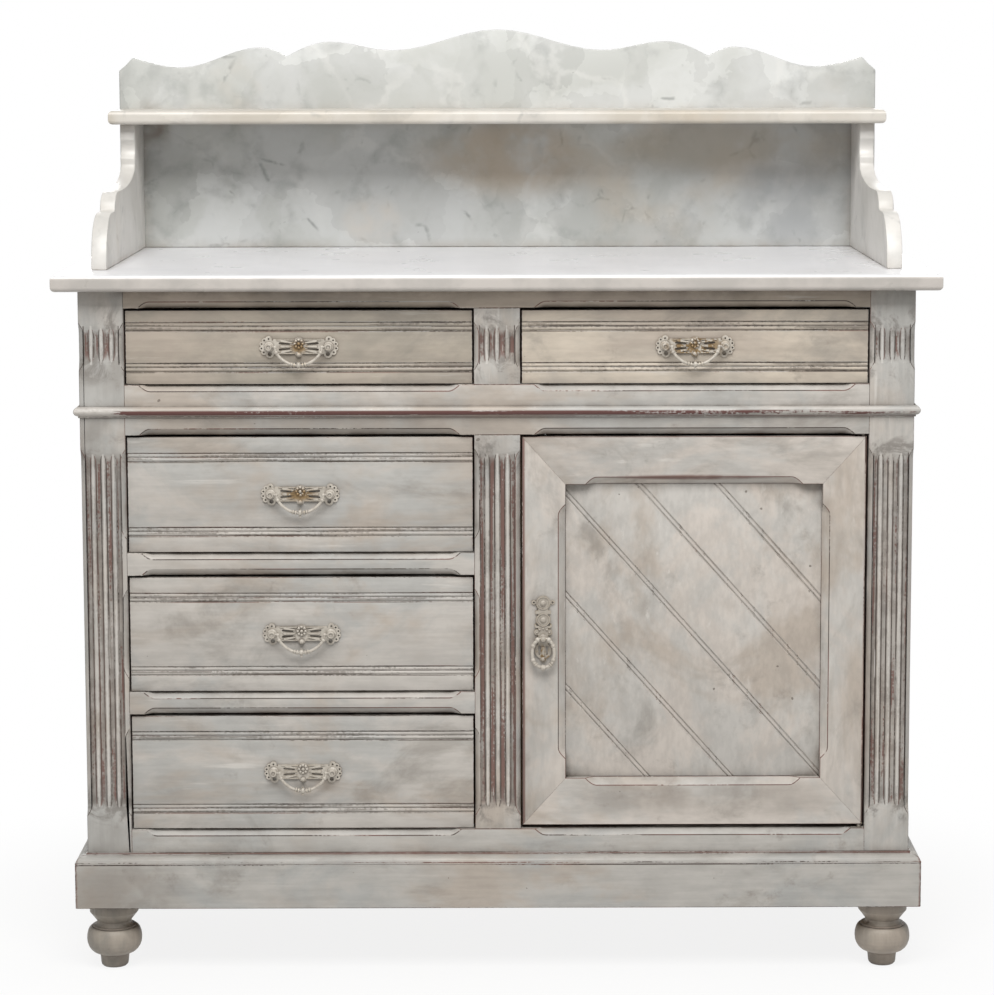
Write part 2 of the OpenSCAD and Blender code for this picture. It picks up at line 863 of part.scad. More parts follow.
function drawer_x0(d) = d[0] < 0 ? -x_open + drawer_gap : x_mid + drawer_gap;
function drawer_x1(d) = drawer_x0(d) + open_w - 2 * drawer_gap;
function drawer_z0(d) = d[1] + slide_gap;
function box_h(d) = d[2] - side_drop - slide_gap;

// Outline of the dovetails in Y and Z; grow opens it into sockets
module tails(d, grow) {
    n = d[4];
    pitch = box_h(d) / n;
    y1 = y_face + front_t;
    for (i = [0 : n - 1]) {
        z = drawer_z0(d) + (i + 0.5) * pitch;
        polygon([[y1 + over, z - 0.26 * pitch - grow], [y1, z - 0.26 * pitch - grow],
            [y1 - tail_len - grow, z - 0.36 * pitch - grow],
            [y1 - tail_len - grow, z + 0.36 * pitch + grow],
            [y1, z + 0.26 * pitch + grow], [y1 + over, z + 0.26 * pitch + grow]]);
    }
}

// Two reeds between three quirks, cut across a drawer front from its edge z
module bead_cut(d, z, dir) {
    steps = 6;
    lip = 0.8;
    crown = 0.2;
    along_x(drawer_x0(d) - over, drawer_x1(d) + over)
        translate([y_face, z])
            scale([1, dir])
                polygon(concat([[-over, -lip], [0, -lip]],
                    [for (k = [0 : 1]) for (i = [0 : steps - (k == 0 ? 1 : 0)])
                        [bead_quirk - (bead_quirk - crown) * sin(180 * i / steps), (k + i / steps) * bead_w]],
                    [[0, 2 * bead_w + lip], [-over, 2 * bead_w + lip]]));
}

module drawer_front(d) {
    y1 = y_face + front_t;
    z0 = d[1] + drawer_low_gap;
    z1 = d[1] + d[2] - drawer_top_gap;
    x0 = drawer_x0(d);
    x1 = drawer_x1(d);
    color(PAINT)
        difference() {
            block(x0, x1, y_face, y1, z0, z1);
            bead_cut(d, z0 + d[3], 1);
            bead_cut(d, z1 - d[3], -1);
            along_x(x0 - over, x0 + side_board_t + glue)
                tails(d, glue);
            along_x(x1 - side_board_t - glue, x1 + over)
                tails(d, glue);
            block(x0 + side_board_t - drawer_groove, x1 - side_board_t + drawer_groove,
                y1 - drawer_groove, y1 + over,
                drawer_z0(d) + drawer_bottom_up - glue,
                drawer_z0(d) + drawer_bottom_up + drawer_bottom_t + glue);
        }
}

// The two dovetailed sides, the back and the grooved bottom of a drawer
module drawer_box(d) {
    x0 = drawer_x0(d);
    x1 = drawer_x1(d);
    y1 = y_face + front_t;
    z0 = drawer_z0(d);
    zb = z0 + drawer_bottom_up;
    inner0 = x0 + side_board_t;
    inner1 = x1 - side_board_t;
    color(RAW_WOOD) {
        for (x = [x0, x1 - side_board_t])
            difference() {
                along_x(x, x + side_board_t)
                    union() {
                        translate([y1, z0])
                            square([y_drawer_end - y1, box_h(d)]);
                        tails(d, 0);
                    }
                block(inner0 - drawer_groove, inner1 + drawer_groove,
                    y1 - drawer_groove - glue, y_drawer_end + over,
                    zb - glue, zb + drawer_bottom_t + glue);
            }
        block(inner0 + glue, inner1 - glue, y_drawer_end - drawer_back_t - 8, y_drawer_end - 8,
            zb + drawer_bottom_t + glue, z0 + box_h(d) - 4);
        block(inner0 - drawer_groove + glue, inner1 + drawer_groove - glue,
            y1 - drawer_groove + glue, y_drawer_end - 4, zb, zb + drawer_bottom_t);
    }
}

// ---------------------------------------------------------------- pulls

function pull_x(d) = d[0] * x_open_mid;
function pull_z(d) = d[1] + d[2] / 2;
post_x = post_span / 2;
y_pivot = y_face - post_reach;

// A slot that tapers from radius r0 at x0 to radius r1 at x1
function slot(x0, r0, x1, r1) = concat(arc([x0, 0], r0, 90, 270, 4), arc([x1, 0], r1, -90, 90, 4));

// Scalloped leaves at both ends of a pierced cartouche with a middle rosette.
// Each leaf is an angle round the post and the radius of its lobe.
boss_r = 7.6;
boss_up = 3.5;
cart_w = 62;
cart_h = 18;
lobe_r = 4.2;
leaves = [[-96, 5], [-48, 3.4], [-14, 2.9], [20, 2.9], [54, 3.1], [88, 4]];
nail_hole_r = 2.5;
eyelet_r = 1.1;
fan = [[16, 3.4], [1, 0], [-15, -3]];
module pull_outline() {
    difference() {
        union() {
            square([cart_w, cart_h], center = true);
            translate([0, boss_up])
                circle(r = boss_r);
            translate([0, -cart_h / 2])
                circle(r = lobe_r);
            for (side = [0, 1])
                mirror([side, 0])
                    translate([post_x, 0]) {
                        circle(r = rosette_r);
                        for (leaf = leaves)
                            rotate(leaf[0])
                                translate([rosette_r + 0.4, 0])
                                    circle(r = leaf[1]);
                    }
        }
        for (side = [0, 1])
            mirror([side, 0]) {
                // openings between the leaves of the fan
                for (z = [1.7, -1.6])
                    translate([0, z])
                        rotate(z * 3.4)
                            polygon(slot(11, 0.7, 23, 1.3));
                translate([post_x, 0])
                    rotate(leaves[0][0])
                        translate([rosette_r + 0.6, 0])
                            circle(r = nail_hole_r);
                for (i = [1 : 5])
                    translate([post_x, 0])
                        rotate(leaves[i][0])
                            translate([rosette_r + 0.8, 0])
                                circle(r = eyelet_r);
            }
    }
}

// Raised work on the plate, drawn with its back at y = 0: leaves that fan out
// from a rosette of petals between two fillets, and a boss on the lower lobe
petals = 8;
petal_r = 2;
fillet_z = [cart_h / 2 - 1, 1 - cart_h / 2];
module pull_relief() {
    for (side = [0, 1])
        mirror([side, 0, 0]) {
            for (leaf = fan)
                translate([0, 0, leaf[1]])
                    rotate([0, -leaf[0] / 1.6, 0])
                        along_y(-1.1, 0.5)
                            polygon(slot(8, 0.6, 21, 1.5));
            for (z = fillet_z)
                translate([0, 0, z])
                    along_y(-0.8, 0.5)
                        polygon(slot(6, 0.5, 26, 0.7));
        }
    translate([0, 0, boss_up])
        rotate([90, 0, 0]) {
            rotate_extrude($fn = 24)
                polygon([[0, -0.5], [boss_r - 0.8, -0.5], [boss_r - 1.2, 0.8], [0, 1.4]]);
            for (i = [0 : petals - 1])
                rotate(i * 360 / petals)
                    translate([boss_r - 1.5 * petal_r, 0, 0.6])
                        sphere(r = petal_r, $fn = 14);
            translate([0, 0, 1.2])
                sphere(r = petal_r + 0.2, $fn = 16);
        }
    translate([0, -1.2, -cart_h / 2 - 0.4])
        sphere(r = lobe_r - 1.2, $fn = 16);
}

module pull_plate(d) {
    tip = post_reach - pull_t;
    color(BRASS)
        translate([pull_x(d), 0, pull_z(d)])
            difference() {
                union() {
                    along_y(y_face - pull_t, y_face)
                        pull_outline();
                    translate([0, y_face - pull_t, 0])
                        pull_relief();
                    for (side = [-1, 1])
                        translate([side * post_x, y_face - pull_t, 0])
                            rotate([90, 0, 0])
                                rotate_extrude()
                                    polygon([[0, -0.5], [6.2, -0.5], [5.8, 1.2], [post_r, 2.6],
                                        [post_r, tip + 2.5], [post_r - 0.8, tip + 3.6],
                                        [post_r - 1.6, tip + 3.6], [post_r - 2, tip + 2.6], [0, tip + 2.4]]);
                }
                translate([-post_x - 10, y_pivot, 0])
                    rotate([0, 90, 0])
                        cylinder(r = bail_pin_r + pin_fit, h = post_span + 20);
            }
}

// A bent bar in the X-Z plane: part of a ring round (x, z), from angle a0
module bent_bar(x, z, r, a0, sweep_angle, bar_r) {
    translate([x, 0, z])
        rotate([90, 0, 0])
            rotate([0, 0, a0])
                rotate_extrude(angle = sweep_angle)
                    translate([r, 0])
                        circle(r = bar_r);
}

// The slim turned knop in the middle of a bail
module bail_knop() {
    rotate_extrude($fn = 24)
        polygon([[0, 5], [1.2, 4.7], [0.9, 3.8], [2, 2.8], [2.9, 1.3], [3, 0], [2.7, -1.4],
            [1.7, -2.7], [1, -3.4], [1.6, -4.4], [1.1, -5.4], [0, -5.8]]);
}

// The round knop at the foot of the door's ring, between two beads
module ring_knop() {
    rotate_extrude($fn = 24)
        polygon([[0, 3.2], [2.4, 2.9], [4, 1.5], [4.5, 0], [3.8, -1.7], [2.4, -2.8], [1.6, -3.4],
            [1.6, -4], [0, -4.6]]);
}

// A three-centred arch that hangs between the posts
side_arc = 13;
bail_a = bail_w / 2;
low_arc = ((bail_a - side_arc) * (bail_a - side_arc) + bail_drop * bail_drop - side_arc * side_arc)
    / (2 * (bail_drop - side_arc));
low_angle = atan2(bail_a - side_arc, low_arc - bail_drop);
collars = [5.2, 8.4];
module pull_bail(d) {
    color(BRASS)
        translate([pull_x(d), y_pivot, pull_z(d)]) {
            bent_bar(0, low_arc - bail_drop, low_arc, 270 - low_angle, 2 * low_angle, bail_r);
            both_sides() {
                bent_bar(bail_a - side_arc, 0, side_arc, 270 + low_angle, 90 - low_angle, bail_r);
                translate([low_arc * sin(low_angle), 0, low_arc * (1 - cos(low_angle)) - bail_drop])
                    sphere(r = bail_r + 0.7);
                translate([bail_a, 0, 0])
                    sphere(r = bail_r + 0.3);
                translate([bail_a, 0, 0])
                    rotate([0, 90, 0])
                        cylinder(r = bail_pin_r, h = post_x - bail_a + post_r - 0.5);
                for (at = collars)
                    translate([at, 0, low_arc - bail_drop - sqrt(low_arc * low_arc - at * at)])
                        rotate([0, 90 - asin(at / low_arc), 0])
                            cylinder(r = bail_r + 1, h = 1.5, center = true, $fn = 20);
            }
            translate([0, 0, -bail_drop])
                bail_knop();
        }
}

// ---------------------------------------------------------------- door

door_w = door_x1 - door_x0;
door_h = door_z1 - door_z0;
inner_x0 = door_x0 + door_stile_w;
inner_x1 = door_x1 - door_stile_w;
inner_z0 = door_z0 + door_rail_h;
inner_z1 = door_z1 - door_rail_h;
door_pull_x = door_x0 + pull_in;

// The panel, grown by its seat where it is a groove in the frame
module panel_body(grow) {
    block(inner_x0 - panel_groove - grow, inner_x1 + panel_groove + grow,
        y_face + panel_sink - grow, y_face + panel_sink + panel_t + grow,
        inner_z0 - panel_groove - grow, inner_z1 + panel_groove + grow);
}

// A mitred length of the frame between four corners in X and Z
module frame_length(points) {
    difference() {
        along_y(y_face, y_face + door_t)
            polygon(points);
        panel_body(seat);
        hinge_room();
        catch_barrel(seat);
        children();
    }
}

// Stopped chamfers round the panel, on the face of the door
door_stop_in = 24;
module door_cut_x(z, wood_above) {
    translate([inner_x0 + door_stop_in, y_face, z])
        rotate([wood_above ? 45 : -45, 0, 0])
            stopped_cut(inner_x1 - inner_x0 - 2 * door_stop_in, door_chamfer);
}
module door_cut_z(x, wood_right) {
    translate([x, y_face, inner_z0 + door_stop_in])
        rotate([0, 0, wood_right ? -45 : 45])
            rotate([0, -90, 0])
                stopped_cut(inner_z1 - inner_z0 - 2 * door_stop_in, door_chamfer);
}

module door_stile_pull() {
    color(PAINT)
        frame_length([[door_x0, door_z0], [door_x0, door_z1], [inner_x0, inner_z1], [inner_x0, inner_z0]])
            door_cut_z(inner_x0, false);
}

module door_stile_hinge() {
    color(PAINT)
        frame_length([[door_x1, door_z0], [door_x1, door_z1], [inner_x1, inner_z1], [inner_x1, inner_z0]]) {
            door_cut_z(inner_x1, true);
            eased_edge();
        }
}

module door_rail_top() {
    color(PAINT)
        frame_length([[door_x0, door_z1], [door_x1, door_z1], [inner_x1, inner_z1], [inner_x0, inner_z1]]) {
            door_cut_x(inner_z1, true);
            eased_edge();
        }
}

module door_rail_bottom() {
    color(PAINT)
        frame_length([[door_x0, door_z0], [door_x1, door_z0], [inner_x1, inner_z0], [inner_x0, inner_z0]]) {
            door_cut_x(inner_z0, false);
            eased_edge();
        }
}

// The front edge beside the pins is eased, so that it clears the stile
module eased_edge() {
    translate([door_x1, y_face, door_z0 - over])
        linear_extrude(door_h + 2 * over)
            polygon([[-edge_ease - over, -over], [over, -over], [over, edge_ease + over]]);
}

// Diagonal pairs of grooves from upper left to lower right: where each pair
// crosses the level line through the middle of the panel
panel_pairs = [-218.5, -116, -4, 95, 190.5];
module door_panel() {
    cx = (inner_x0 + inner_x1) / 2;
    cz = (inner_z0 + inner_z1) / 2;
    long = inner_z1 - inner_z0 + inner_x1 - inner_x0;
    half = panel_quirk * sqrt(2) / 2;
    color(PAINT)
        difference() {
            panel_body(0);
            for (at = panel_pairs)
                for (side = [-1, 1])
                    translate([cx + at, y_face + panel_sink, cz])
                        rotate([0, panel_angle, 0])
                            translate([0, 0, side * panel_pair / 2])
                                rotate([45, 0, 0])
                                    cube([long, 2 * half, 2 * half], center = true);
        }
}

// Ball catch in the edge of the door, and its strike in the middle stile
catch_z = ring_pivot_h + catch_up;
catch_y = y_face + door_t / 2;
module catch_barrel(grow) {
    translate([door_x0 - (grow > 0 ? over : 0), catch_y, catch_z])
        rotate([0, 90, 0])
            cylinder(r = 5 + grow, h = 14 + grow + (grow > 0 ? over : 0));
}

module door_catch() {
    ball_r = 3.6;
    proud = drawer_gap - slide_gap;
    color(BRASS) {
        catch_barrel(0);
        translate([door_x0 - proud, catch_y, catch_z])
            rotate([0, 90, 0])
                rotate_extrude()
                    polygon([[0, 0], [ball_r - 1.6, 0.2], [ball_r - 0.6, proud * 0.6], [ball_r, proud + 0.5],
                        [0, proud + 0.5]]);
    }
}

module strike(grow) {
    difference() {
        block(x_mid - 1.2 - grow, x_mid + (grow > 0 ? over : 0), catch_y - 6 - grow, catch_y + 6 + grow,
            catch_z - 14 - grow, catch_z + 14 + grow);
        if (grow == 0)
            translate([x_mid - 3, catch_y, catch_z])
                rotate([0, 90, 0])
                    cylinder(r = 3, h = 6);
    }
}

module catch_strike() {
    color(BRASS)
        strike(0);
}

// A long pierced plate with ears, and the post that carries the ring
ring_reach = 8;
ring_post_r = 3.2;
plate_up = door_pull_h - 31;
medal_r = 9;
medal_z = [plate_up - medal_r, plate_up - 3.3 * medal_r];
ear = [medal_r + 2.4, medal_z[0] + 1];
shield_z = -16;
shield_r = 10;
module door_pull_outline() {
    difference() {
        union() {
            for (z = medal_z)
                translate([0, z])
                    circle(r = medal_r);
            translate([-6, shield_z])
                square([12, medal_z[0] - shield_z]);
            translate([-ear[0], ear[1] - 1.5])
                square([2 * ear[0], 3]);
            translate([0, shield_z])
                circle(r = shield_r);
            translate([0, shield_z - shield_r])
                circle(r = 4);
            for (side = [-1, 1]) {
                translate([side * ear[0], ear[1]])
                    circle(r = 2.6);
                // scrolls beside the medallions and over the ring
                for (p = [[7, 31.5, 2.6], [7.6, 15, 2.8], [7.4, 7, 3.6], [7, -3, 3.4]])
                    translate([side * p[0], p[1]])
                        circle(r = p[2]);
            }
        }
        for (side = [-1, 1]) {
            for (z = [-5.6, 5.6])
                translate([side * 7, medal_z[1] + z])
                    circle(r = 1.8);
            translate([side * ear[0], ear[1]])
                circle(r = 1.2);
            // tall openings in the shield behind the ring
            translate([side * 4.6, shield_z])
                rotate(90)
                    polygon(slot(-4, 1.2, 5, 1.8));
        }
    }
}

// Raised rims, bosses and beads on the door pull's plate
module door_pull_relief() {
    for (z = medal_z)
        translate([0, 0, z])
            rotate([90, 0, 0]) {
                rotate_extrude($fn = 24)
                    polygon([[medal_r - 2.4, -0.5], [medal_r - 0.4, -0.5], [medal_r - 0.9, 0.9],
                        [medal_r - 1.9, 0.9]]);
                rotate_extrude($fn = 24)
                    polygon([[0, -0.5], [4, -0.5], [3.5, 0.9], [2, 2.1], [0, 2.5]]);
            }
    for (i = [-2 : 2])
        translate([8.2 * sin(33 * i), 0.3, 3.2 + 8.2 * cos(33 * i)])
            sphere(r = 1.7, $fn = 14);
    translate([0, 0, shield_z - 2])
        along_y(-1.2, 0.5)
            rotate(90)
                polygon(slot(-5.5, 0.9, 6, 1.6));
    translate([0, -1.2, shield_z - shield_r])
        sphere(r = 2.8, $fn = 16);
}

module door_pull_plate() {
    color(BRASS)
        translate([door_pull_x, 0, ring_pivot_h])
            difference() {
                union() {
                    along_y(y_face - pull_t, y_face)
                        door_pull_outline();
                    translate([0, y_face - pull_t, 0])
                        door_pull_relief();
                    translate([0, y_face - pull_t, 0])
                        rotate([90, 0, 0])
                            rotate_extrude()
                                polygon([[0, -0.5], [5, -0.5], [4.4, 1.4], [ring_post_r, 2.4],
                                    [ring_post_r, ring_reach - pull_t + 2.2],
                                    [0, ring_reach - pull_t + 3.4]]);
                }
                translate([-10, y_face - ring_reach, 0])
                    rotate([0, 90, 0])
                        cylinder(r = bail_pin_r + pin_fit, h = 20);
            }
}

// An oval ring: flat arcs at its sides, joined by beads to a round arc at the
// top and at the foot. The arcs stop short of each other inside the beads.
ring_side_r = 30;
ring_widest = 18;
ring_collars = 9;
arm_angle = 60;
function short_of(r) = 35 / r;
module door_pull_ring() {
    bar = bail_r + 0.3;
    bead = bar + 0.8;
    side_in = ring_side_r - ring_w / 2;
    top_r = end_arc(ring_widest);
    low_r = end_arc(ring_h - ring_widest);
    top_angle = atan2(ring_widest - top_r, side_in);
    low_angle = atan2(ring_h - ring_widest - low_r, side_in);
    arm = top_r * cos(arm_angle) + 0.3;
    color(BRASS)
        translate([door_pull_x, y_face - ring_reach, ring_pivot_h]) {
            translate([-arm, 0, 0])
                rotate([0, 90, 0])
                    cylinder(r = bail_pin_r, h = 2 * arm);
            both_sides() {
                translate([arm, 0, -1.1])
                    sphere(r = bead + 0.1);
                bent_bar(0, -top_r, top_r, top_angle + short_of(top_r),
                    arm_angle - top_angle - short_of(top_r), bar);
                for (a = [top_angle, -low_angle])
                    translate([ring_side_r * cos(a) - side_in, 0, ring_side_r * sin(a) - ring_widest])
                        sphere(r = bead);
                bent_bar(-side_in, -ring_widest, ring_side_r, short_of(ring_side_r) - low_angle,
                    top_angle + low_angle - 2 * short_of(ring_side_r), bar);
                translate([ring_collars, 0,
                        low_r - ring_h - sqrt(low_r * low_r - ring_collars * ring_collars)])
                    rotate([0, 90 - asin(ring_collars / low_r), 0])
                        cylinder(r = bead, h = 1.8, center = true, $fn = 20);
            }
            bent_bar(0, low_r - ring_h, low_r, 180 + low_angle + short_of(low_r),
                180 - 2 * low_angle - 2 * short_of(low_r), bar);
            translate([0, 0, -ring_h])
                ring_knop();
        }
}

// Radius of the arc that ends the ring at a height h from its widest level
function end_arc(h) = (pow(ring_side_r, 2) - pow(ring_side_r - ring_w / 2, 2) - h * h)
    / (2 * (ring_side_r - h));

// ---------------------------------------------------------------- nodes

marble_top();
splashback();
marble_shelf();
bracket(-1);  // bracket_left
bracket(1);  // bracket_right
front_stile_left();
front_stile_right();
muntin_upper();
muntin_lower();
top_rail();
frieze_rail();
drawer_rail(z_first - drawer_rail_h);  // drawer_rail_upper
drawer_rail(z_second - drawer_rail_h);  // drawer_rail_lower
bottom_rail();
waist_moulding();
plinth_boards();
plinth_moulding();
feet();
rear_posts();
side_rails();
side_panel_left();
side_panel_right();
back_rails();
back_boards();
deck_board();
floor_board();
partitions();
drawer_runners();
hinge_pins();
catch_strike();
door_stop();
drawer_front(UPPER_LEFT);  // upper_left_front
drawer_box(UPPER_LEFT);  // upper_left_box
pull_plate(UPPER_LEFT);  // upper_left_plate
pull_bail(UPPER_LEFT);  // upper_left_bail
drawer_front(UPPER_RIGHT);  // upper_right_front
drawer_box(UPPER_RIGHT);  // upper_right_box
pull_plate(UPPER_RIGHT);  // upper_right_plate
pull_bail(UPPER_RIGHT);  // upper_right_bail
drawer_front(FIRST);  // first_front
drawer_box(FIRST);  // first_box
pull_plate(FIRST);  // first_plate
pull_bail(FIRST);  // first_bail
drawer_front(SECOND);  // second_front
drawer_box(SECOND);  // second_box
pull_plate(SECOND);  // second_plate
pull_bail(SECOND);  // second_bail
drawer_front(THIRD);  // third_front
drawer_box(THIRD);  // third_box
pull_plate(THIRD);  // third_plate
pull_bail(THIRD);  // third_bail
door_stile_hinge();
door_stile_pull();
door_rail_top();
door_rail_bottom();
door_panel();
pivot_plates();
door_pull_plate();
door_pull_ring();
door_catch();
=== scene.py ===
# %% [markdown]
# # A painted washstand with a marble top
#
# A chest of five drawers and a cupboard stands on turned feet under a marble
# slab, splashback and shelf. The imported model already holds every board, bead
# and pull at its true size. This script gives each piece its finish: marble
# with soft veins, cream paint that is rubbed back to dark red wood, bare pine
# inside, and cast brass under old paint.

# %% Load the frame
import json
import math

import bpy
from mathutils import Matrix, Vector


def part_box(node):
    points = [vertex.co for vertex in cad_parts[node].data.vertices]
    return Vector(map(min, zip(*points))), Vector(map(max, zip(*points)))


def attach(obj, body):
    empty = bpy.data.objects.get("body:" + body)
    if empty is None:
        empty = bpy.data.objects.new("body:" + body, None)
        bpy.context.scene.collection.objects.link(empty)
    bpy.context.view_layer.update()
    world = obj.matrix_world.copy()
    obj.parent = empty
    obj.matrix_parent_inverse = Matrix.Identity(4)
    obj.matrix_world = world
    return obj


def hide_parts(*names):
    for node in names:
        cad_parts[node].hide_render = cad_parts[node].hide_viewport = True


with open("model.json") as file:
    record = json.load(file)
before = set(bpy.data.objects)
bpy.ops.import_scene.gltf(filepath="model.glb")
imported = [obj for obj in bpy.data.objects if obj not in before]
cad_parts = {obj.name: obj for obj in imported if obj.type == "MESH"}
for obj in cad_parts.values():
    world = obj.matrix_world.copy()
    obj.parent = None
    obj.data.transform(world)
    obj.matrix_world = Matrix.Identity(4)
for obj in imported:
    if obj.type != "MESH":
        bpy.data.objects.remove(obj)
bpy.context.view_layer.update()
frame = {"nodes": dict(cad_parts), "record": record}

MM = 0.001

# %% [markdown]
# ## Places that the finishes need
#
# Worn paint follows the shape: it goes first from the crown of a moulding, and
# dirt stays in the bottom of a groove. So the materials need to know how deep
# those lie. The faces are read from the frame's own boxes, and the carving
# repeats the few measures that the reeds were cut to.

# %% Planes of the front
stile_lo, stile_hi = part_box("front_stile_right")
band_lo, band_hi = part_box("waist_moulding")
X_STILE = (stile_lo[0] + stile_hi[0]) / 2
X_SIDE = stile_hi[0]
Y_STILE = stile_lo[1]
Y_BAND = band_lo[1]
Y_DRAWER, Y_DOOR, Y_PANEL = (
    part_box(node)[0][1] for node in ("first_front", "door_rail_top", "door_panel"))
Z_BAND = (band_lo[2] + band_hi[2]) / 2
Z_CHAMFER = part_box("door_rail_top")[0][2] + 8.5 * MM
Z_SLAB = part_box("marble_top")[1][2]
BAND_OUT = Y_STILE - Y_BAND
DOOR_LEFT, DOOR_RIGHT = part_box("door_stile_pull")[0][0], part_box("door_stile_hinge")[1][0]
print("face of the stiles at", round(Y_STILE, 4), "and of the drawers at", round(Y_DRAWER, 4))
print("middle of a corner stile at", round(X_STILE, 4),
      "and the waist band stands out", round(BAND_OUT, 4))

# %% Measures of the carving
REED_HALF_PITCH = 6.2 * MM
FIELD_HALF = 20.8 * MM
RIDGE = (FIELD_HALF, 21.5 * MM)
RIDGE_EASE = 0.4 * MM
REED_FLOOR, GROOVE_FLOOR = 8.0 * MM, 4.0 * MM
FIELDS = [(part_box(node)[0][2] + 24 * MM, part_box(node)[1][2] - top * MM)
          for node, top in (("door_stile_pull", 20), ("upper_left_front", 18))]
print("reeded fields from and to", [[round(z, 3) for z in field] for field in FIELDS])

# %% Pieces that are finished alike
DRAWERS = ["upper_left", "upper_right", "first", "second", "third"]
STILES = ["front_stile_left", "front_stile_right", "muntin_upper", "muntin_lower"]
RAILS = ["top_rail", "frieze_rail", "drawer_rail_upper", "drawer_rail_lower", "bottom_rail"]
SIDES = ["rear_posts", "side_rails", "side_panel_left", "side_panel_right"]
DOOR_STILES = ["door_stile_hinge", "door_stile_pull"]
DOOR_RAILS = ["door_rail_top", "door_rail_bottom"]
print(len(DRAWERS), "drawers,", len(STILES), "stiles and", len(RAILS), "rails in the front")

# %% [markdown]
# ## Small helpers for node trees
#
# A material is a graph. These helpers add a node with its values, join two
# sockets, and give a group its inputs and outputs, so that each finish below
# reads as a short recipe.


# %% Nodes and groups
def add(tree, kind, **values):
    """A new node; a value named after a socket sets it, any other name sets a property."""
    node = tree.nodes.new("ShaderNode" + kind)
    for name, value in values.items():
        socket = node.inputs.get(name.replace("_", " "))
        if socket is not None:
            put(tree, value, socket)
        else:
            setattr(node, name, value)
    return node


def put(tree, value, socket):
    """Joins an output to a socket, or sets the socket to a plain value."""
    if isinstance(value, bpy.types.NodeSocket):
        tree.links.new(value, socket)
    elif isinstance(value, tuple) and len(value) == 3 and socket.type == "RGBA":
        socket.default_value = (*value, 1.0)
    else:
        socket.default_value = value


def wire(tree, node, **values):
    """Sets or joins the inputs of a node or a group by name."""
    for name, value in values.items():
        put(tree, value, node.inputs[name.replace("_", " ")])
    return node


def group(name, inputs, outputs):
    """An empty shader node group with named sockets; returns its tree, input and output nodes."""
    tree = bpy.data.node_groups.new(name, "ShaderNodeTree")
    kinds = {"value": "NodeSocketFloat", "colour": "NodeSocketColor", "vector": "NodeSocketVector"}
    for label, kind, default in inputs:
        socket = tree.interface.new_socket(label, in_out="INPUT", socket_type=kinds[kind])
        if default is not None:
            socket.default_value = (*default, 1.0) if kind == "colour" else default
    for label, kind in outputs:
        tree.interface.new_socket(label, in_out="OUTPUT", socket_type=kinds[kind])
    return tree, tree.nodes.new("NodeGroupInput"), tree.nodes.new("NodeGroupOutput")


def use(tree, shared, **values):
    """Places a shared group in a material, with its inputs set or joined."""
    node = tree.nodes.new("ShaderNodeGroup")
    node.node_tree = shared
    return wire(tree, node, **values)


# %% Values and masks
def math_node(tree, operation, a, b=0.0, clamp=False):
    node = tree.nodes.new("ShaderNodeMath")
    node.operation, node.use_clamp = operation, clamp
    put(tree, a, node.inputs[0])
    put(tree, b, node.inputs[1])
    return node.outputs[0]


def product(tree, *factors):
    """Multiplies masks, so that the result is 1 only where every one of them is."""
    result = factors[0]
    for factor in factors[1:]:
        result = math_node(tree, "MULTIPLY", result, factor)
    return result


def largest(tree, *masks):
    """The greatest of several masks, so that the result is 1 where any one of them is."""
    result, *others = masks
    for mask in others:
        result = math_node(tree, "MAXIMUM", result, mask)
    return result


def apart(tree, a, b):
    """How far two values lie apart."""
    return math_node(tree, "ABSOLUTE", math_node(tree, "SUBTRACT", a, b))


def ramp(tree, value, low, high, out_low=0.0, out_high=1.0):
    """Turns a value that runs from low to high into one that eases from out_low to out_high."""
    node = tree.nodes.new("ShaderNodeMapRange")
    node.interpolation_type = "SMOOTHSTEP"
    for socket, v in zip(node.inputs, (value, low, high, out_low, out_high)):
        put(tree, v, socket)
    return node.outputs[0]


def fade(tree, value, low, high, start=1.0):
    """The start value up to low, easing to 0 at high."""
    return ramp(tree, value, low, high, start, 0.0)


def noise(tree, place, scale, detail=3.0, roughness=0.55, seed=0.0, **more):
    """A noise value from 0 to 1; a seed moves it, so that two of them never match."""
    node = add(tree, "TexNoise", noise_dimensions="4D", Vector=place, W=seed, Scale=scale,
               Detail=detail, Roughness=roughness, **more)
    return node.outputs["Fac"]


def blotches(tree, place, texture, cut, most=1.0, least=0.0, **more):
    """Soft patches of a noise (scale, detail, roughness, seed); cut is where their edges ease."""
    return ramp(tree, noise(tree, place, *texture, **more), *cut, least, most)


# %% Colours
def mix(tree, amount, a, b, how="MIX"):
    """Mixes two colours by an amount."""
    node = tree.nodes.new("ShaderNodeMix")
    node.data_type, node.blend_type = "RGBA", how
    put(tree, amount, node.inputs["Factor"])
    put(tree, a, node.inputs[6])
    put(tree, b, node.inputs[7])
    return node.outputs[2]


def layered(tree, colour, *layers):
    """A colour with others laid over it in turn; each layer is a mask and its colour."""
    for mask, tint in layers:
        colour = mix(tree, mask, colour, tint)
    return colour


def shaded(tree, colour, value):
    """A colour made darker by a value below 1 and lighter by one above 1."""
    as_grey = tree.nodes.new("ShaderNodeCombineColor")
    for socket in as_grey.inputs:
        put(tree, value, socket)
    return mix(tree, 1.0, colour, as_grey.outputs[0], "MULTIPLY")


# %% Coordinates
def axis_of(tree, place, axis):
    """One coordinate of a place: X, Y or Z."""
    return add(tree, "SeparateXYZ", Vector=place).outputs[axis]


def mapped(tree, place, scale, location=(0.0, 0.0, 0.0)):
    """Coordinates scaled along each axis and then moved."""
    node = add(tree, "Mapping", Vector=place)
    node.inputs["Location"].default_value = location
    node.inputs["Scale"].default_value = scale
    return node.outputs[0]


def stretched(tree, place, direction, squeeze=0.07):
    """Coordinates in which a pattern is drawn out along one direction."""
    return mapped(tree, place, [squeeze if axis == direction else 1.0 for axis in "xyz"])


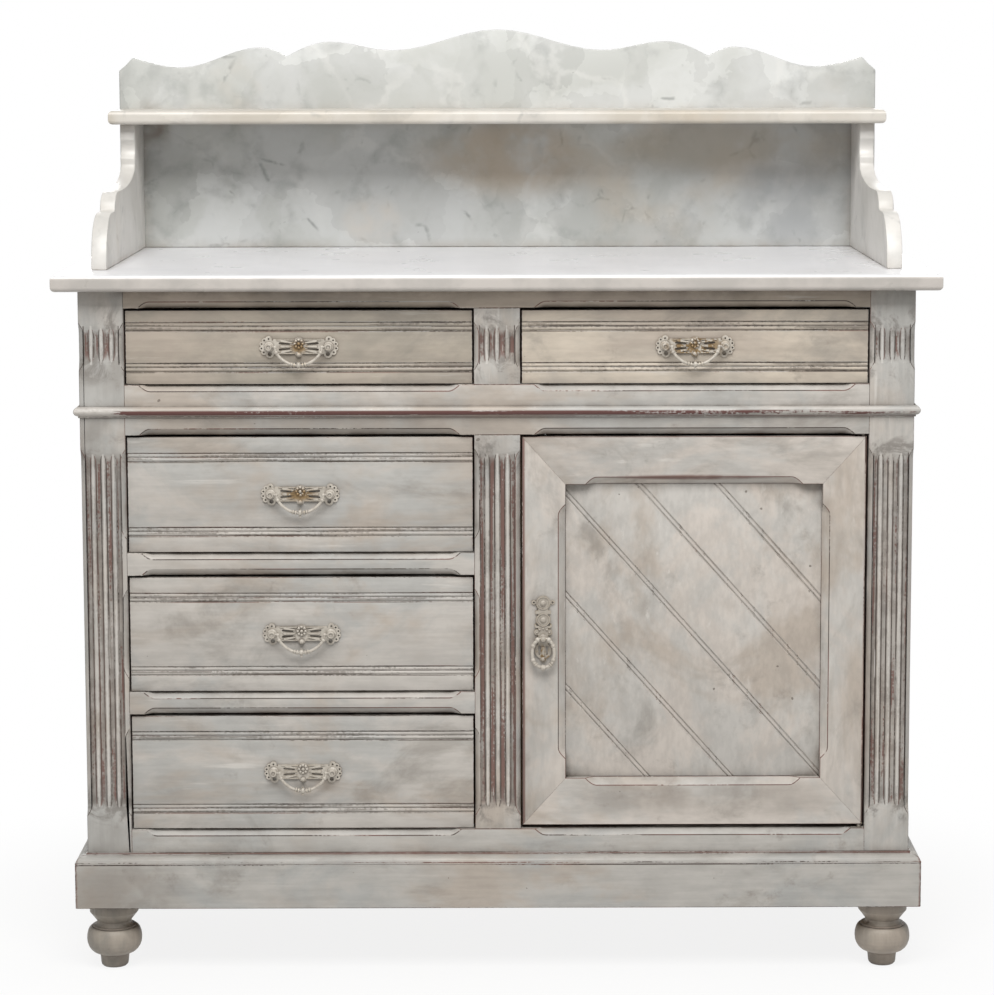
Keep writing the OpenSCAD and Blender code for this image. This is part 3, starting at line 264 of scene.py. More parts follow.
def summed(tree, a, b):
    """The sum of two vectors."""
    node = add(tree, "VectorMath", operation="ADD")
    tree.links.new(a, node.inputs[0])
    tree.links.new(b, node.inputs[1])
    return node.outputs[0]


def warped(tree, place, wobble, amount):
    """Coordinates pushed about by a noise's colour, so that straight borders wander."""
    push = add(tree, "VectorMath", operation="SCALE", Scale=amount)
    tree.links.new(wobble, push.inputs[0])
    return summed(tree, place, push.outputs[0])


def length_of(tree, vector):
    node = add(tree, "VectorMath", operation="LENGTH")
    tree.links.new(vector, node.inputs[0])
    return node.outputs["Value"]


def near_spot(tree, place, spot, reach):
    """1 at a spot on the front (X and Z in metres), easing to 0 at its reach in X and in Z."""
    scale = (1.0 / reach[0], 0.0, 1.0 / reach[1])
    location = (-spot[0] / reach[0], 0.0, -spot[1] / reach[1])
    return fade(tree, length_of(tree, mapped(tree, place, scale, location)), 0.35, 1.0)


# %% [markdown]
# ## Colours
#
# The paint was a warm cream over a dark red wood. Years of hands and wax have
# made a family of tones of it, warmer on the upper drawers and darker in patches.
# The darker paint of the top rail and of the upper left drawer is painted shade.
# They are written here once, so that all the pieces agree.

# %% Colours of paint, wood, dirt and painted shade
RED_WOOD, BAND_WOOD = (0.140, 0.068, 0.054), (0.105, 0.040, 0.034)
DARK_LINE = (0.060, 0.044, 0.036)
# Dark brown of dirt; in corners it is also painted shade.
DIRT_AND_SHADE_BROWN = (0.105, 0.086, 0.070)
# A darker paint for patches at given spots.
DARK_PATCH_PAINT = (0.215, 0.19, 0.165)
# Whitish paint of rubbed places, also laid on reed crowns as painted highlight.
CHALK_AND_HIGHLIGHT = (0.62, 0.60, 0.57)
CREAM = (0.480, 0.455, 0.424)
GREY_CREAM = (0.408, 0.403, 0.386)
WARM_PAINT = dict(cream=(0.52, 0.46, 0.385), grey=(0.43, 0.387, 0.332))
# Darker paint on the top rail: painted shade under the marble's overhang.
SHADED_TOP_RAIL_PAINT = dict(cream=(0.42, 0.36, 0.30), grey=(0.33, 0.285, 0.235))
# Darker paint on the upper left drawer: painted shade.
SHADED_DRAWER_PAINT = dict(cream=(0.385, 0.342, 0.285), grey=(0.315, 0.285, 0.24))
DOOR_PAINT = dict(cream=(0.525, 0.483, 0.442), grey=(0.475, 0.458, 0.432))
GREY_PAINT = dict(cream=(0.43, 0.415, 0.39), grey=(0.378, 0.377, 0.364))
FOOT_PAINT = dict(cream=(0.33, 0.295, 0.25), grey=(0.26, 0.24, 0.21))

# %% Colours of marble, pine and brass
VEIN_GREY, HEALED_CRACK, RUST = (0.22, 0.23, 0.225), (0.70, 0.70, 0.68), (0.56, 0.48, 0.38)
# The slab's sides: a darker cream that is painted shade.
SHADED_SIDE_CREAM, SHADED_SIDE_GREY = (0.49, 0.455, 0.42), (0.40, 0.375, 0.345)
BROWN_STAIN, BLUE_SHADOW = (0.43, 0.35, 0.26), (0.34, 0.355, 0.37)
# Colour of the marble's darker corners: dirt and painted shade.
MARBLE_DIRT_AND_SHADE = (0.34, 0.29, 0.235)
PINE_LIGHT, PINE_DARK = (0.46, 0.31, 0.18), (0.28, 0.17, 0.09)
PALE_BRASS, GOLD, BRASS_DIRT = (0.46, 0.33, 0.15), (0.235, 0.145, 0.052), (0.062, 0.042, 0.028)
print("the paint is", CREAM, "over wood of", RED_WOOD)

# %% [markdown]
# ## Effects that several finishes share
#
# Each effect is a node group with named inputs and outputs, built once. A
# group only puts out colours, masks and heights; the shader stays in the
# material. Paint could be one flat colour with a little noise, but hand-laid
# paint has layers, so its group lays them on in turn: clouds, warm patches,
# smudges, thin places, chalky streaks and, last, the marks of the brush.


# %% Shared effect: clouds and brush marks of hand-laid paint
def build_brushed_paint():
    tree, given, out = group(
        "brushed_paint",
        [("Place", "vector", None), ("Along", "vector", None), ("Cream", "colour", CREAM),
         ("Grey", "colour", GREY_CREAM)],
        [("Colour", "colour"), ("Height", "value")],
    )
    place, along = given.outputs["Place"], given.outputs["Along"]
    smeared = summed(tree, place, along)
    clouds = blotches(tree, smeared, (4.6, 6.0, 0.64, 1.0), (0.43, 0.57), Distortion=0.9)
    warm = blotches(tree, smeared, (3.1, 5.0, 0.65, 2.0), (0.48, 0.62), 0.75, Distortion=0.6)
    smudge = blotches(tree, smeared, (7.0, 8.0, 0.66, 3.0), (0.51, 0.70), 0.55, Distortion=0.8)
    thin = product(tree, blotches(tree, place, (34.0, 6.0, 0.7, 8.0), (0.56, 0.70), 0.42),
                   blotches(tree, place, (5.0, 2.0, 0.5, 9.0), (0.44, 0.60)))
    chalk = product(tree, blotches(tree, along, (95.0, 4.0, 0.6, 4.0), (0.60, 0.70), 0.5),
                    blotches(tree, smeared, (4.0, 2.0, 0.5, 5.0), (0.48, 0.6)))
    colour = layered(
        tree, given.outputs["Cream"], (clouds, given.outputs["Grey"]),
        (warm, (0.395, 0.34, 0.288)), (smudge, (0.235, 0.215, 0.19)),
        (thin, (0.20, 0.17, 0.145)), (chalk, (0.64, 0.62, 0.585)))
    fine = noise(tree, along, 150.0, 5.0, 0.62, 6.0)
    wide = noise(tree, smeared, 22.0, 4.0, 0.6, 7.0)
    marks = math_node(tree, "ADD", product(tree, fine, 0.5), product(tree, wide, 0.5))
    colour = shaded(tree, colour, ramp(tree, marks, 0.38, 0.62, 0.90, 1.06))
    wire(tree, out, Colour=colour, Height=fine)
    return tree


brushed_paint = build_brushed_paint()

# %% [markdown]
# Dirt and wear could be painted by hand on each piece. Ambient occlusion finds
# their places by itself: rays sent outwards are blocked in a corner, which is
# darkened there both as dirt and as painted shade, and rays sent inwards soon
# come out near an edge, where paint is knocked off.


# %% Shared effect: dirt and painted shade in corners and beside mouldings
def build_corner_dirt_and_shade():
    tree, given, out = group(
        "corner_dirt_and_shade",
        [("Place", "vector", None), ("Reach", "value", 0.012), ("Amount", "value", 0.6)],
        [("Mask", "value")],
    )
    near = add(tree, "AmbientOcclusion", samples=5, Distance=given.outputs["Reach"])
    # Corners are darkened here: partly dirt, partly painted shade.
    hollow = math_node(tree, "SUBTRACT", 1.0, near.outputs["AO"])
    uneven = blotches(tree, given.outputs["Place"], (26.0, 5.0, 0.62), (0.34, 0.64), 1.25, 0.25)
    dirt_and_shade = math_node(tree, "MULTIPLY", product(tree, hollow, uneven), given.outputs["Amount"],
                     clamp=True)
    wire(tree, out, Mask=dirt_and_shade)
    return tree


corner_dirt_and_shade = build_corner_dirt_and_shade()


# %% Shared effect: wear on outer edges
def build_worn_edges():
    tree, given, out = group(
        "worn_edges",
        [("Place", "vector", None), ("Reach", "value", 0.003), ("Fineness", "value", 55.0),
         ("Amount", "value", 0.5)],
        [("Mask", "value")],
    )
    inside = add(tree, "AmbientOcclusion", samples=5, inside=True, only_local=True,
                 Distance=given.outputs["Reach"])
    edge = math_node(tree, "SUBTRACT", 1.0, inside.outputs["AO"])
    breaks = noise(tree, given.outputs["Place"], given.outputs["Fineness"], 4.0, 0.65)
    spots = noise(tree, given.outputs["Place"], 9.0, 2.0, 0.5, 1.0)
    limit = math_node(tree, "ADD", product(tree, breaks, 0.6), product(tree, spots, 0.6))
    eased = math_node(tree, "ADD", edge, given.outputs["Amount"])
    wire(tree, out, Mask=ramp(tree, math_node(tree, "SUBTRACT", eased, limit), 0.22, 0.38))
    return tree


worn_edges = build_worn_edges()


# %% Shared effect: a line along a board that comes and goes
def build_broken_line():
    tree, given, out = group(
        "broken_line",
        [("Place", "vector", None), ("Along", "vector", None), ("Cover", "value", 0.5),
         ("Seed", "value", 0.0)],
        [("Mask", "value")],
    )
    long = noise(tree, given.outputs["Along"], 250.0, 3.0, 0.6, given.outputs["Seed"])
    nibbled = noise(tree, given.outputs["Place"], 240.0, 3.0, 0.6, given.outputs["Seed"])
    level = math_node(tree, "ADD", product(tree, long, 0.72), product(tree, nibbled, 0.28))
    more = product(tree, math_node(tree, "SUBTRACT", given.outputs["Cover"], 0.5), 0.42)
    wire(tree, out, Mask=ramp(tree, math_node(tree, "ADD", level, more), 0.475, 0.525))
    return tree


broken_line = build_broken_line()


# %% Shared effect: small knocks and flecks
def build_flecks():
    tree, given, out = group(
        "flecks",
        [("Place", "vector", None), ("Scale", "value", 60.0), ("Size", "value", 0.1)],
        [("Mask", "value")],
    )
    wobble = add(tree, "TexNoise", Vector=given.outputs["Place"], Scale=90.0, Detail=2.0)
    ragged = warped(tree, given.outputs["Place"], wobble.outputs["Color"], 0.006)
    cells = add(tree, "TexVoronoi", Vector=ragged, Scale=given.outputs["Scale"])
    chance = add(tree, "SeparateColor", Color=cells.outputs["Color"])
    size = product(tree, given.outputs["Size"], chance.outputs["Green"])
    dot = math_node(tree, "LESS_THAN", cells.outputs["Distance"], size)
    kept = math_node(tree, "GREATER_THAN", chance.outputs["Red"], 0.86)
    wire(tree, out, Mask=product(tree, dot, kept))
    return tree


flecks = build_flecks()

# %% [markdown]
# Marble was limestone once. It has grey clouds, a web of healed cracks, and
# thin grey veins that start and stop. A stock marble texture of wavy bands
# looks like a kitchen worktop, so the veins here are the borders of warped
# cells and the level lines of a noise, and a second noise breaks both up.


# %% Shared effect: veins and clouds of white marble
def to_border(tree, place, scale):
    """How far a place lies from the nearest border between two cells of this scale."""
    cells = add(tree, "TexVoronoi", feature="DISTANCE_TO_EDGE", Vector=place, Scale=scale)
    return cells.outputs["Distance"]


def build_marble_veins():
    tree, given, out = group(
        "marble_veins",
        [("Place", "vector", None), ("Light", "colour", (0.72, 0.72, 0.7)),
         ("Shade", "colour", (0.6, 0.61, 0.6)), ("Vein", "colour", VEIN_GREY),
         ("Stain", "colour", RUST), ("Veins", "value", 1.0), ("Patches", "value", 1.0),
         ("Stains", "value", 0.5)],
        [("Colour", "colour"), ("Height", "value")],
    )
    place, veins = given.outputs["Place"], given.outputs["Veins"]
    bend = add(tree, "TexNoise", Vector=place, Scale=7.0, Detail=5.0, Roughness=0.62)
    folded = warped(tree, place, bend.outputs["Color"], 0.14)
    clouds = blotches(tree, folded, (6.0, 4.0, 0.55, 1.0), (0.40, 0.60), Distortion=0.4)
    colour = mix(tree, clouds, given.outputs["Light"], given.outputs["Shade"])
    grains = add(tree, "TexVoronoi", Vector=folded, Scale=13.0)
    tone = add(tree, "SeparateColor", Color=grains.outputs["Color"]).outputs["Red"]
    swing = product(tree, ramp(tree, tone, 0.0, 1.0, -0.030, 0.024), given.outputs["Patches"])
    colour = shaded(tree, colour, math_node(tree, "ADD", 1.0, swing))
    healed = product(tree, fade(tree, to_border(tree, folded, 6.5), 0.002, 0.060, 0.30),
                     blotches(tree, place, (7.0, 2.0, 0.5, 2.0), (0.44, 0.62)), veins)
    ridge = apart(tree, noise(tree, place, 6.0, 4.0, 0.55, 3.0, Distortion=0.3), 0.5)
    gate = noise(tree, place, 24.0, 4.0, 0.6, 4.0)
    thread = product(tree, fade(tree, ridge, 0.0, 0.016, 0.5), ramp(tree, gate, 0.52, 0.64))
    haze = product(tree, fade(tree, ridge, 0.0, 0.060, 0.34), ramp(tree, gate, 0.42, 0.60))
    cracks = to_border(tree, warped(tree, place, bend.outputs["Color"], 0.030), 17.0)
    dash = product(tree, fade(tree, cracks, 0.0, 0.060, 0.72),
                   blotches(tree, place, (60.0, 3.0, 0.6, 8.0), (0.42, 0.60)),
                   blotches(tree, place, (16.0, 3.0, 0.55, 9.0), (0.50, 0.66)))
    vein = math_node(tree, "MULTIPLY", largest(tree, thread, haze, dash), veins, clamp=True)
    specks = use(tree, flecks, Place=place, Scale=38.0, Size=0.13).outputs["Mask"]
    stain = blotches(tree, place, (4.4, 4.0, 0.62, 6.0), (0.54, 0.74))
    colour = layered(
        tree, colour, (healed, HEALED_CRACK), (vein, given.outputs["Vein"]),
        (product(tree, specks, veins, 0.55), given.outputs["Vein"]),
        (product(tree, stain, given.outputs["Stains"]), given.outputs["Stain"]))
    wire(tree, out, Colour=colour, Height=vein)
    return tree


marble_veins = build_marble_veins()
print("shared effects:", ", ".join(g.name for g in bpy.data.node_groups))


# %% [markdown]
# ## Materials
#
# Grain and brush marks run along a board, so each painted finish is made for
# one direction. Object coordinates are the piece's own metres, which keeps the
# pattern still when a drawer slides.


# %% Start of a material
def material(name):
    """An empty material with one Principled shader; returns both and its Object coordinates."""
    made = bpy.data.materials.new(name)
    made.use_nodes = True
    tree = made.node_tree
    shader = tree.nodes["Principled BSDF"]
    place = tree.nodes.new("ShaderNodeTexCoord").outputs["Object"]
    return made, tree, shader, place


def bump(tree, height, strength, distance, normal=None):
    """A normal that follows a height; a second one is laid over the first."""
    node = add(tree, "Bump", Height=height, Strength=strength, Distance=distance)
    if normal is not None:
        tree.links.new(normal, node.inputs["Normal"])
    return node.outputs[0]


def with_dirt_and_shade(tree, place, colour, reach, amount, dirt_and_shade=DIRT_AND_SHADE_BROWN):
    """A colour with dirt and painted shade in the corners, up to a reach in metres."""
    settled = use(tree, corner_dirt_and_shade, Place=place, Reach=reach, Amount=amount)
    return mix(tree, settled.outputs["Mask"], colour, dirt_and_shade)


def stains_and_shade(tree, place, colour, spots):
    """Stains, darker patches and painted shade at given places: each is (X and Z of the spot, its
    reach, its colour, how strong).
    """
    for spot, reach, tint, most in spots:
        uneven = blotches(tree, place, (9.0, 4.0, 0.62, spot[0] * 9.0), (0.36, 0.58), most)
        colour = mix(tree, product(tree, near_spot(tree, place, spot, reach), uneven), colour, tint)
    return colour


# %% [markdown]
# ### How wear follows the carving
#
# The flutes beside the reeds were rubbed through to red wood in patches, with
# a dark line left beside each reed, darker paint where the reeds end, and
# whitish crowns and specks that are partly rubbed paint and partly painted
# highlight. The quirks of the drawer fronts hold dark wax in long stretches. The
# crown of the waist band is bare, and so are the outer edges of the door. A
# mask from the shape alone can't tell these apart, so each recipe below works
# from the planes measured above, and is handed to the paint that needs it.


# %% Lines and depths in the carving
LINE_SQUEEZE = 0.025


def broken(tree, place, lines, cover, seed):
    """A line that comes and goes; cover sets the share of its length that shows."""
    line = use(tree, broken_line, Place=place, Along=lines, Cover=cover, Seed=seed)
    return line.outputs["Mask"]


def depth(tree, place, face, start, full, floor=GROOVE_FLOOR):
    """0 at the face of a piece and down to start, 1 from full down to the floor of the carving."""
    y = axis_of(tree, place, "Y")
    above_floor = math_node(tree, "LESS_THAN", y, face + floor)
    return product(tree, ramp(tree, y, face + start, face + full), above_floor)


def reeded_height(tree, place):
    """1 at the heights where the stiles are carved, beside the drawers and the door."""
    z = axis_of(tree, place, "Z")
    return largest(tree, *(product(tree, math_node(tree, "GREATER_THAN", z, low),
                                   math_node(tree, "LESS_THAN", z, high))
                           for low, high in FIELDS))


def near_field_ends(tree, place):
    """1 beside the ends of the reeds, easing to 0 away from them."""
    z = axis_of(tree, place, "Z")
    return largest(tree, *(fade(tree, apart(tree, z, end), 8.0 * MM, 34.0 * MM)
                           for field in FIELDS for end in field))


# %% Wear of the reeded stiles
def reeded_stile(bare, smeared):
    """Wear in a stile's sunk fields: bare sets the share of red wood, smeared how brown it is."""
    def recipe(tree, place, lines, colour):
        x = math_node(tree, "ABSOLUTE", axis_of(tree, place, "X"))
        off = math_node(tree, "MINIMUM", x, apart(tree, x, X_STILE))
        between = math_node(tree, "LESS_THAN", off, FIELD_HALF)
        carved = reeded_height(tree, place)
        field = product(tree, depth(tree, place, Y_STILE, 0.9 * MM, 3.3 * MM, REED_FLOOR), between)
        beside = math_node(tree, "PINGPONG", off, REED_HALF_PITCH)
        flute = ramp(tree, beside, 3.0 * MM, 3.7 * MM)
        line = product(tree, ramp(tree, beside, 2.1 * MM, 2.7 * MM),
                       fade(tree, beside, 3.6 * MM, 4.6 * MM))
        # Whitish crowns of the reeds: partly rubbed paint, partly painted highlight.
        crown = product(tree, fade(tree, beside, 0.7 * MM, 2.0 * MM), carved, between)
        ridge = product(tree, ramp(tree, off, RIDGE[0] - RIDGE_EASE, RIDGE[0]),
                        fade(tree, off, RIDGE[1], RIDGE[1] + RIDGE_EASE), carved)
        tips = product(tree, depth(tree, place, Y_STILE, 0.15 * MM, 1.2 * MM, REED_FLOOR), between,
                       blotches(tree, place, (55.0, 4.0, 0.65, 12.0), (0.44, 0.60), 0.5))
        browned = blotches(tree, lines, (300.0, 4.0, 0.65, 11.0), (0.42, 0.56),
                           smeared, smeared * 0.25)
        rubbed, inked, edge, chalk_and_highlight = (
            broken(tree, place, lines, cover, seed)
            for cover, seed in ((bare, 2.0), (0.72, 5.0), (0.62, 7.0), (0.5, 16.0)))
        # Darker paint beside the ends of the reeds.
        darker_by_reed_ends = product(
            tree, near_field_ends(tree, place),
            blotches(tree, place, (30.0, 7.0, 0.7, 15.0), (0.47, 0.62), 0.75, Distortion=0.8))
        # Whitish specks in the fields: partly chips, partly painted highlight.
        specks_and_highlights = use(tree, flecks, Place=lines, Scale=420.0, Size=0.5).outputs["Mask"]
        return layered(
            tree, colour,
            (tips, (0.15, 0.13, 0.115)),
            (product(tree, browned, flute, field), (0.17, 0.145, 0.125)),
            (product(tree, rubbed, flute, field, 0.9), RED_WOOD),
            (product(tree, inked, line, field, 0.95), DARK_LINE),
            (darker_by_reed_ends, (0.165, 0.15, 0.135)),
            (product(tree, ridge, edge, 0.9), DARK_LINE),
            (product(tree, crown, chalk_and_highlight, 0.5), CHALK_AND_HIGHLIGHT),
            (product(tree, specks_and_highlights, field, 0.8), (0.60, 0.58, 0.55)))
    return recipe


# %% Wear of the drawer fronts and the waist band
def quirked_drawer(tree, place, lines, colour):
    """Dark wax in the quirks of a drawer front, in long stretches."""
    waxed = broken(tree, place, lines, 0.42, 3.0)
    lip = product(tree, depth(tree, place, Y_DRAWER, 0.03 * MM, 0.35 * MM), waxed, 0.7)
    quirk = product(tree, depth(tree, place, Y_DRAWER, 0.95 * MM, 1.65 * MM),
                    ramp(tree, waxed, 0.0, 1.0, 0.12, 0.95))
    return layered(tree, colour, (lip, DIRT_AND_SHADE_BROWN), (quirk, DARK_LINE))


def rubbed_band(tree, place, lines, colour):
    """The crown of the waist band, bare nearly all along it, with dark lines at its feet."""
    x, y, z = (axis_of(tree, place, axis) for axis in "XYZ")
    forward = math_node(tree, "SUBTRACT", Y_STILE, y)
    sideways = math_node(tree, "SUBTRACT", math_node(tree, "ABSOLUTE", x), X_SIDE)
    out = largest(tree, forward, sideways)
    crown = product(tree, ramp(tree, out, BAND_OUT - 3.0 * MM, BAND_OUT - 1.9 * MM),
                    fade(tree, z, Z_BAND + 1.2 * MM, Z_BAND + 2.6 * MM))
    share = product(tree, ramp(tree, x, 0.02, 0.30, 0.92, 0.42),
                    ramp(tree, x, -0.48, -0.43, 0.2, 1.0))
    foot = product(tree, fade(tree, out, 0.8 * MM, 2.6 * MM), broken(tree, place, lines, 0.6, 4.0))
    chalked = product(tree, broken(tree, place, lines, 0.28, 8.0),
                      ramp(tree, out, 3.0 * MM, 5.0 * MM))
    return layered(
        tree, colour, (product(tree, foot, 0.75), DARK_LINE),
        (product(tree, crown, broken(tree, place, lines, share, 1.0)), BAND_WOOD),
        (product(tree, chalked, 0.6), CHALK_AND_HIGHLIGHT))


# %% Wear of the door
def door_edge(tree, place, lines, colour):
    """Red wood along the two outer edges of the door, where hands and the frame rub it."""
    x = axis_of(tree, place, "X")
    left = fade(tree, x, DOOR_LEFT + 2.0 * MM, DOOR_LEFT + 4.5 * MM)
    right = ramp(tree, x, DOOR_RIGHT - 3.0 * MM, DOOR_RIGHT - 1.0 * MM)
    front = product(tree, largest(tree, left, right), depth(tree, place, Y_DOOR, -1.0 * MM, 0.0))
    rubbed = broken(tree, place, lines, 0.80, 14.0)
    return mix(tree, product(tree, front, rubbed, 0.9), colour, RED_WOOD)


def grooved_panel(tree, place, lines, colour):
    """Thin dark lines in the diagonal grooves of the door panel."""
    inked = ramp(tree, broken(tree, place, lines, 0.6, 6.0), 0.0, 1.0, 0.18, 0.62)
    groove = depth(tree, place, Y_PANEL, 0.6 * MM, 1.1 * MM)
    return mix(tree, product(tree, groove, inked), colour, DARK_LINE)


# %% [markdown]
# ### Rubbed paint
#
# Each painted finish is built in layers: brushed paint, darker patches and
# bare wood at their own spots, dirt and painted shade in the corners, then the
# places that carving treats in its own way, and last small knocks.


# %% Painted wood
def painted(name, direction, cream=CREAM, grey=GREY_CREAM, dirt_and_shade=1.0, wear=0.0, carving=None,
            streak=0.07, spots=()):
    made, tree, shader, place = material(name)
    along = stretched(tree, place, direction, streak)
    paint = use(tree, brushed_paint, Place=place, Along=along, Cream=cream, Grey=grey)
    knocks = use(tree, flecks, Place=place, Scale=52.0, Size=0.12).outputs["Mask"]
    colour = stains_and_shade(tree, place, paint.outputs["Colour"], spots)
    # Darker corners: dirt and painted shade.
    colour = with_dirt_and_shade(tree, place, colour, 0.015, dirt_and_shade)
    if wear:
        worn = use(tree, worn_edges, Place=place, Reach=0.003, Fineness=70.0, Amount=wear)
        colour = mix(tree, worn.outputs["Mask"], colour, RED_WOOD)
    if carving:
        colour = carving(tree, place, stretched(tree, place, direction, LINE_SQUEEZE), colour)
    colour = mix(tree, product(tree, knocks, 0.7), colour, DIRT_AND_SHADE_BROWN)
    relief = bump(tree, paint.outputs["Height"], 0.3, 0.0004)
    relief = bump(tree, math_node(tree, "SUBTRACT", 1.0, knocks), 0.6, 0.0004, relief)
    wire(tree, shader, Base_Color=colour, Normal=relief,
         Roughness=ramp(tree, paint.outputs["Height"], 0.35, 0.65, 0.46, 0.58))
    return made


# %% Where the paint is darker in patches, and red wood shows on the door's chamfer
RAIL_SPOTS = [((-0.20, 0.684), (0.30, 0.022), DARK_PATCH_PAINT, 0.55),
              ((0.25, 0.684), (0.25, 0.020), DARK_PATCH_PAINT, 0.35)]
STILE_SPOTS = [((-0.475, 0.665), (0.06, 0.05), DARK_PATCH_PAINT, 0.6),
               ((-0.475, 0.75), (0.05, 0.05), DARK_PATCH_PAINT, 0.45),
               ((-0.475, 0.165), (0.06, 0.04), DARK_PATCH_PAINT, 0.35)]
MUNTIN_SPOTS = [((0.0, 0.655), (0.05, 0.04), DARK_PATCH_PAINT, 0.4)]
DOOR_SPOTS = [((0.24, 0.215), (0.24, 0.035), DARK_PATCH_PAINT, 0.55),
              ((0.24, Z_CHAMFER), (0.13, 0.0045), RED_WOOD, 0.85)]
PLINTH_SPOTS = [((-0.46, 0.10), (0.10, 0.06), DARK_PATCH_PAINT, 0.6)]

# %% Painted finishes
paint_rail = painted("paint_rail", "x", spots=RAIL_SPOTS)
# The top rail's darker paint is painted shade under the marble.
paint_top_rail = painted("paint_top_rail", "x", **SHADED_TOP_RAIL_PAINT)
paint_stile = painted("paint_stile", "z", carving=reeded_stile(0.38, 0.6), spots=STILE_SPOTS)
paint_stile_right = painted("paint_stile_right", "z", carving=reeded_stile(0.36, 0.3))
paint_muntin = painted("paint_muntin", "z", carving=reeded_stile(0.56, 0.5), spots=MUNTIN_SPOTS)
paint_side = painted("paint_side", "z", wear=0.30)
paint_drawer_warm = painted("paint_drawer_warm", "x", carving=quirked_drawer, **WARM_PAINT)
# The upper left drawer's darker paint is painted shade.
paint_drawer_shaded = painted("paint_drawer_shaded", "x", carving=quirked_drawer, **SHADED_DRAWER_PAINT)
paint_drawer = painted("paint_drawer", "x", carving=quirked_drawer)
paint_band = painted("paint_band", "x", carving=rubbed_band)
paint_panel = painted("paint_panel", "z", carving=grooved_panel, streak=0.45, **DOOR_PAINT)
paint_door_x = painted("paint_door_x", "x", streak=0.2, spots=DOOR_SPOTS, **DOOR_PAINT)
paint_door_z = painted("paint_door_z", "z", carving=door_edge, streak=0.2, **DOOR_PAINT)
paint_plinth = painted("paint_plinth", "x", wear=0.34, spots=PLINTH_SPOTS, **GREY_PAINT)
paint_foot = painted("paint_foot", "z", dirt_and_shade=1.3, wear=0.30, **FOOT_PAINT)
print("painted:", [m.name for m in bpy.data.materials if m.name.startswith("paint_")])


# %% [markdown]
# ### Arrises
#
# An arris is the line where two planed faces meet. It is rubbed first, and
# wax darkens the wood that shows. When the edges are rounded further down, the
# narrow faces that the bevel makes get this finish of their own, so that each
# line stays thin and crisp and runs exactly along the edge.


# %% Worn arrises
def worn_arris(name, direction, cover, tint=DARK_LINE, cream=CREAM, grey=GREY_CREAM):
    made, tree, shader, place = material(name)
    along = stretched(tree, place, direction)
    lines = stretched(tree, place, direction, LINE_SQUEEZE)
    paint = use(tree, brushed_paint, Place=place, Along=along, Cream=cream, Grey=grey)
    worn = broken(tree, place, lines, cover, 9.0)
    bare = mix(tree, blotches(tree, along, (60.0, 2.0, 0.5, 3.0), (0.50, 0.56)), tint, RED_WOOD)
    colour = mix(tree, ramp(tree, worn, 0.0, 1.0, 0.12, 1.0), paint.outputs["Colour"], bare)
    wire(tree, shader, Base_Color=colour, Roughness=ramp(tree, worn, 0.0, 1.0, 0.5, 0.66))
    return made


arris_x = worn_arris("arris_x", "x", 0.62)
arris_z = worn_arris("arris_z", "z", 0.62)
arris_drawer = worn_arris("arris_drawer", "x", 0.48)
arris_door_x = worn_arris("arris_door_x", "x", 0.68, (0.105, 0.052, 0.042), **DOOR_PAINT)
arris_door_z = worn_arris("arris_door_z", "z", 0.66, **DOOR_PAINT)
arris_panel = worn_arris("arris_panel", "z", 0.30, **DOOR_PAINT)
arris_plinth = worn_arris("arris_plinth", "x", 0.50, **GREY_PAINT)
print("arrises:", [m.name for m in bpy.data.materials if m.name.startswith("arris_")])


# %% [markdown]
# ### Marble
#
# White marble is never plain: soft grey clouds, a pale web of healed cracks,
# short dark streaks, and warm stains near the wall where water stood. The top
# has been washed and polished most, so it is whiter and glossier; its sides
# get a darker cream, which is painted shade. The splashback has painted shadow
# beside the right bracket and painted shade under the shelf, and the brackets
# are its stone made lighter, which is painted light.


# %% Marble
def marble(name, light, shade, veins, patches, stains, rough, shade_below=None, spots=()):
    """Marble of two tones; below shade_below, its sides get a darker cream as painted shade."""
    made, tree, shader, place = material(name)
    look = use(tree, marble_veins, Place=place, Light=light, Shade=shade, Veins=veins,
               Patches=patches, Stains=stains)
    colour = stains_and_shade(tree, place, look.outputs["Colour"], spots)
    # Painted shade: the slab's sides below its top get a darker cream.
    if shade_below is not None:
        edge = fade(tree, axis_of(tree, place, "Z"), shade_below - 2.0 * MM, shade_below)
        uneven = blotches(tree, place, (14.0, 4.0, 0.6, 7.0), (0.42, 0.6))
        shaded_sides = mix(tree, uneven, SHADED_SIDE_CREAM, SHADED_SIDE_GREY)
        colour = mix(tree, product(tree, edge, 0.9), colour, shaded_sides)
    # Darker corners: dirt and painted shade.
    colour = with_dirt_and_shade(tree, place, colour, 0.014, 0.5, MARBLE_DIRT_AND_SHADE)
    smear = noise(tree, place, 18.0, 3.0)
    grain = noise(tree, place, 140.0, 3.0)
    wire(tree, shader, Base_Color=colour, Normal=bump(tree, grain, 0.02, 0.0002),
         Roughness=ramp(tree, smear, 0.3, 0.7, rough - 0.03, rough + 0.04))
    return made


# Spots on the splashback: a brown stain in the middle, painted shadow of the right bracket, and,
# last, painted shade under the shelf at the right.
BACK_STAINS_AND_SHADE = [((0.02, 0.985), (0.16, 0.07), BROWN_STAIN, 0.75),
              ((0.39, 0.93), (0.10, 0.09), BLUE_SHADOW, 0.6),
              ((-0.17, 0.90), (0.05, 0.04), (0.62, 0.55, 0.47), 0.6),
              ((-0.47, 1.02), (0.035, 0.05), (0.20, 0.155, 0.115), 0.8),
              ((0.30, 1.00), (0.22, 0.05), (0.36, 0.315, 0.25), 0.6)]
marble_slab = marble("marble_slab", (0.775, 0.78, 0.805), (0.735, 0.74, 0.765), 0.05, 0.0, 0.05,
                     0.30, shade_below=Z_SLAB - 2.0 * MM)
marble_ledge = marble("marble_ledge", (0.645, 0.615, 0.565), (0.55, 0.51, 0.445), 0.6, 1.5, 0.9,
                      0.34)
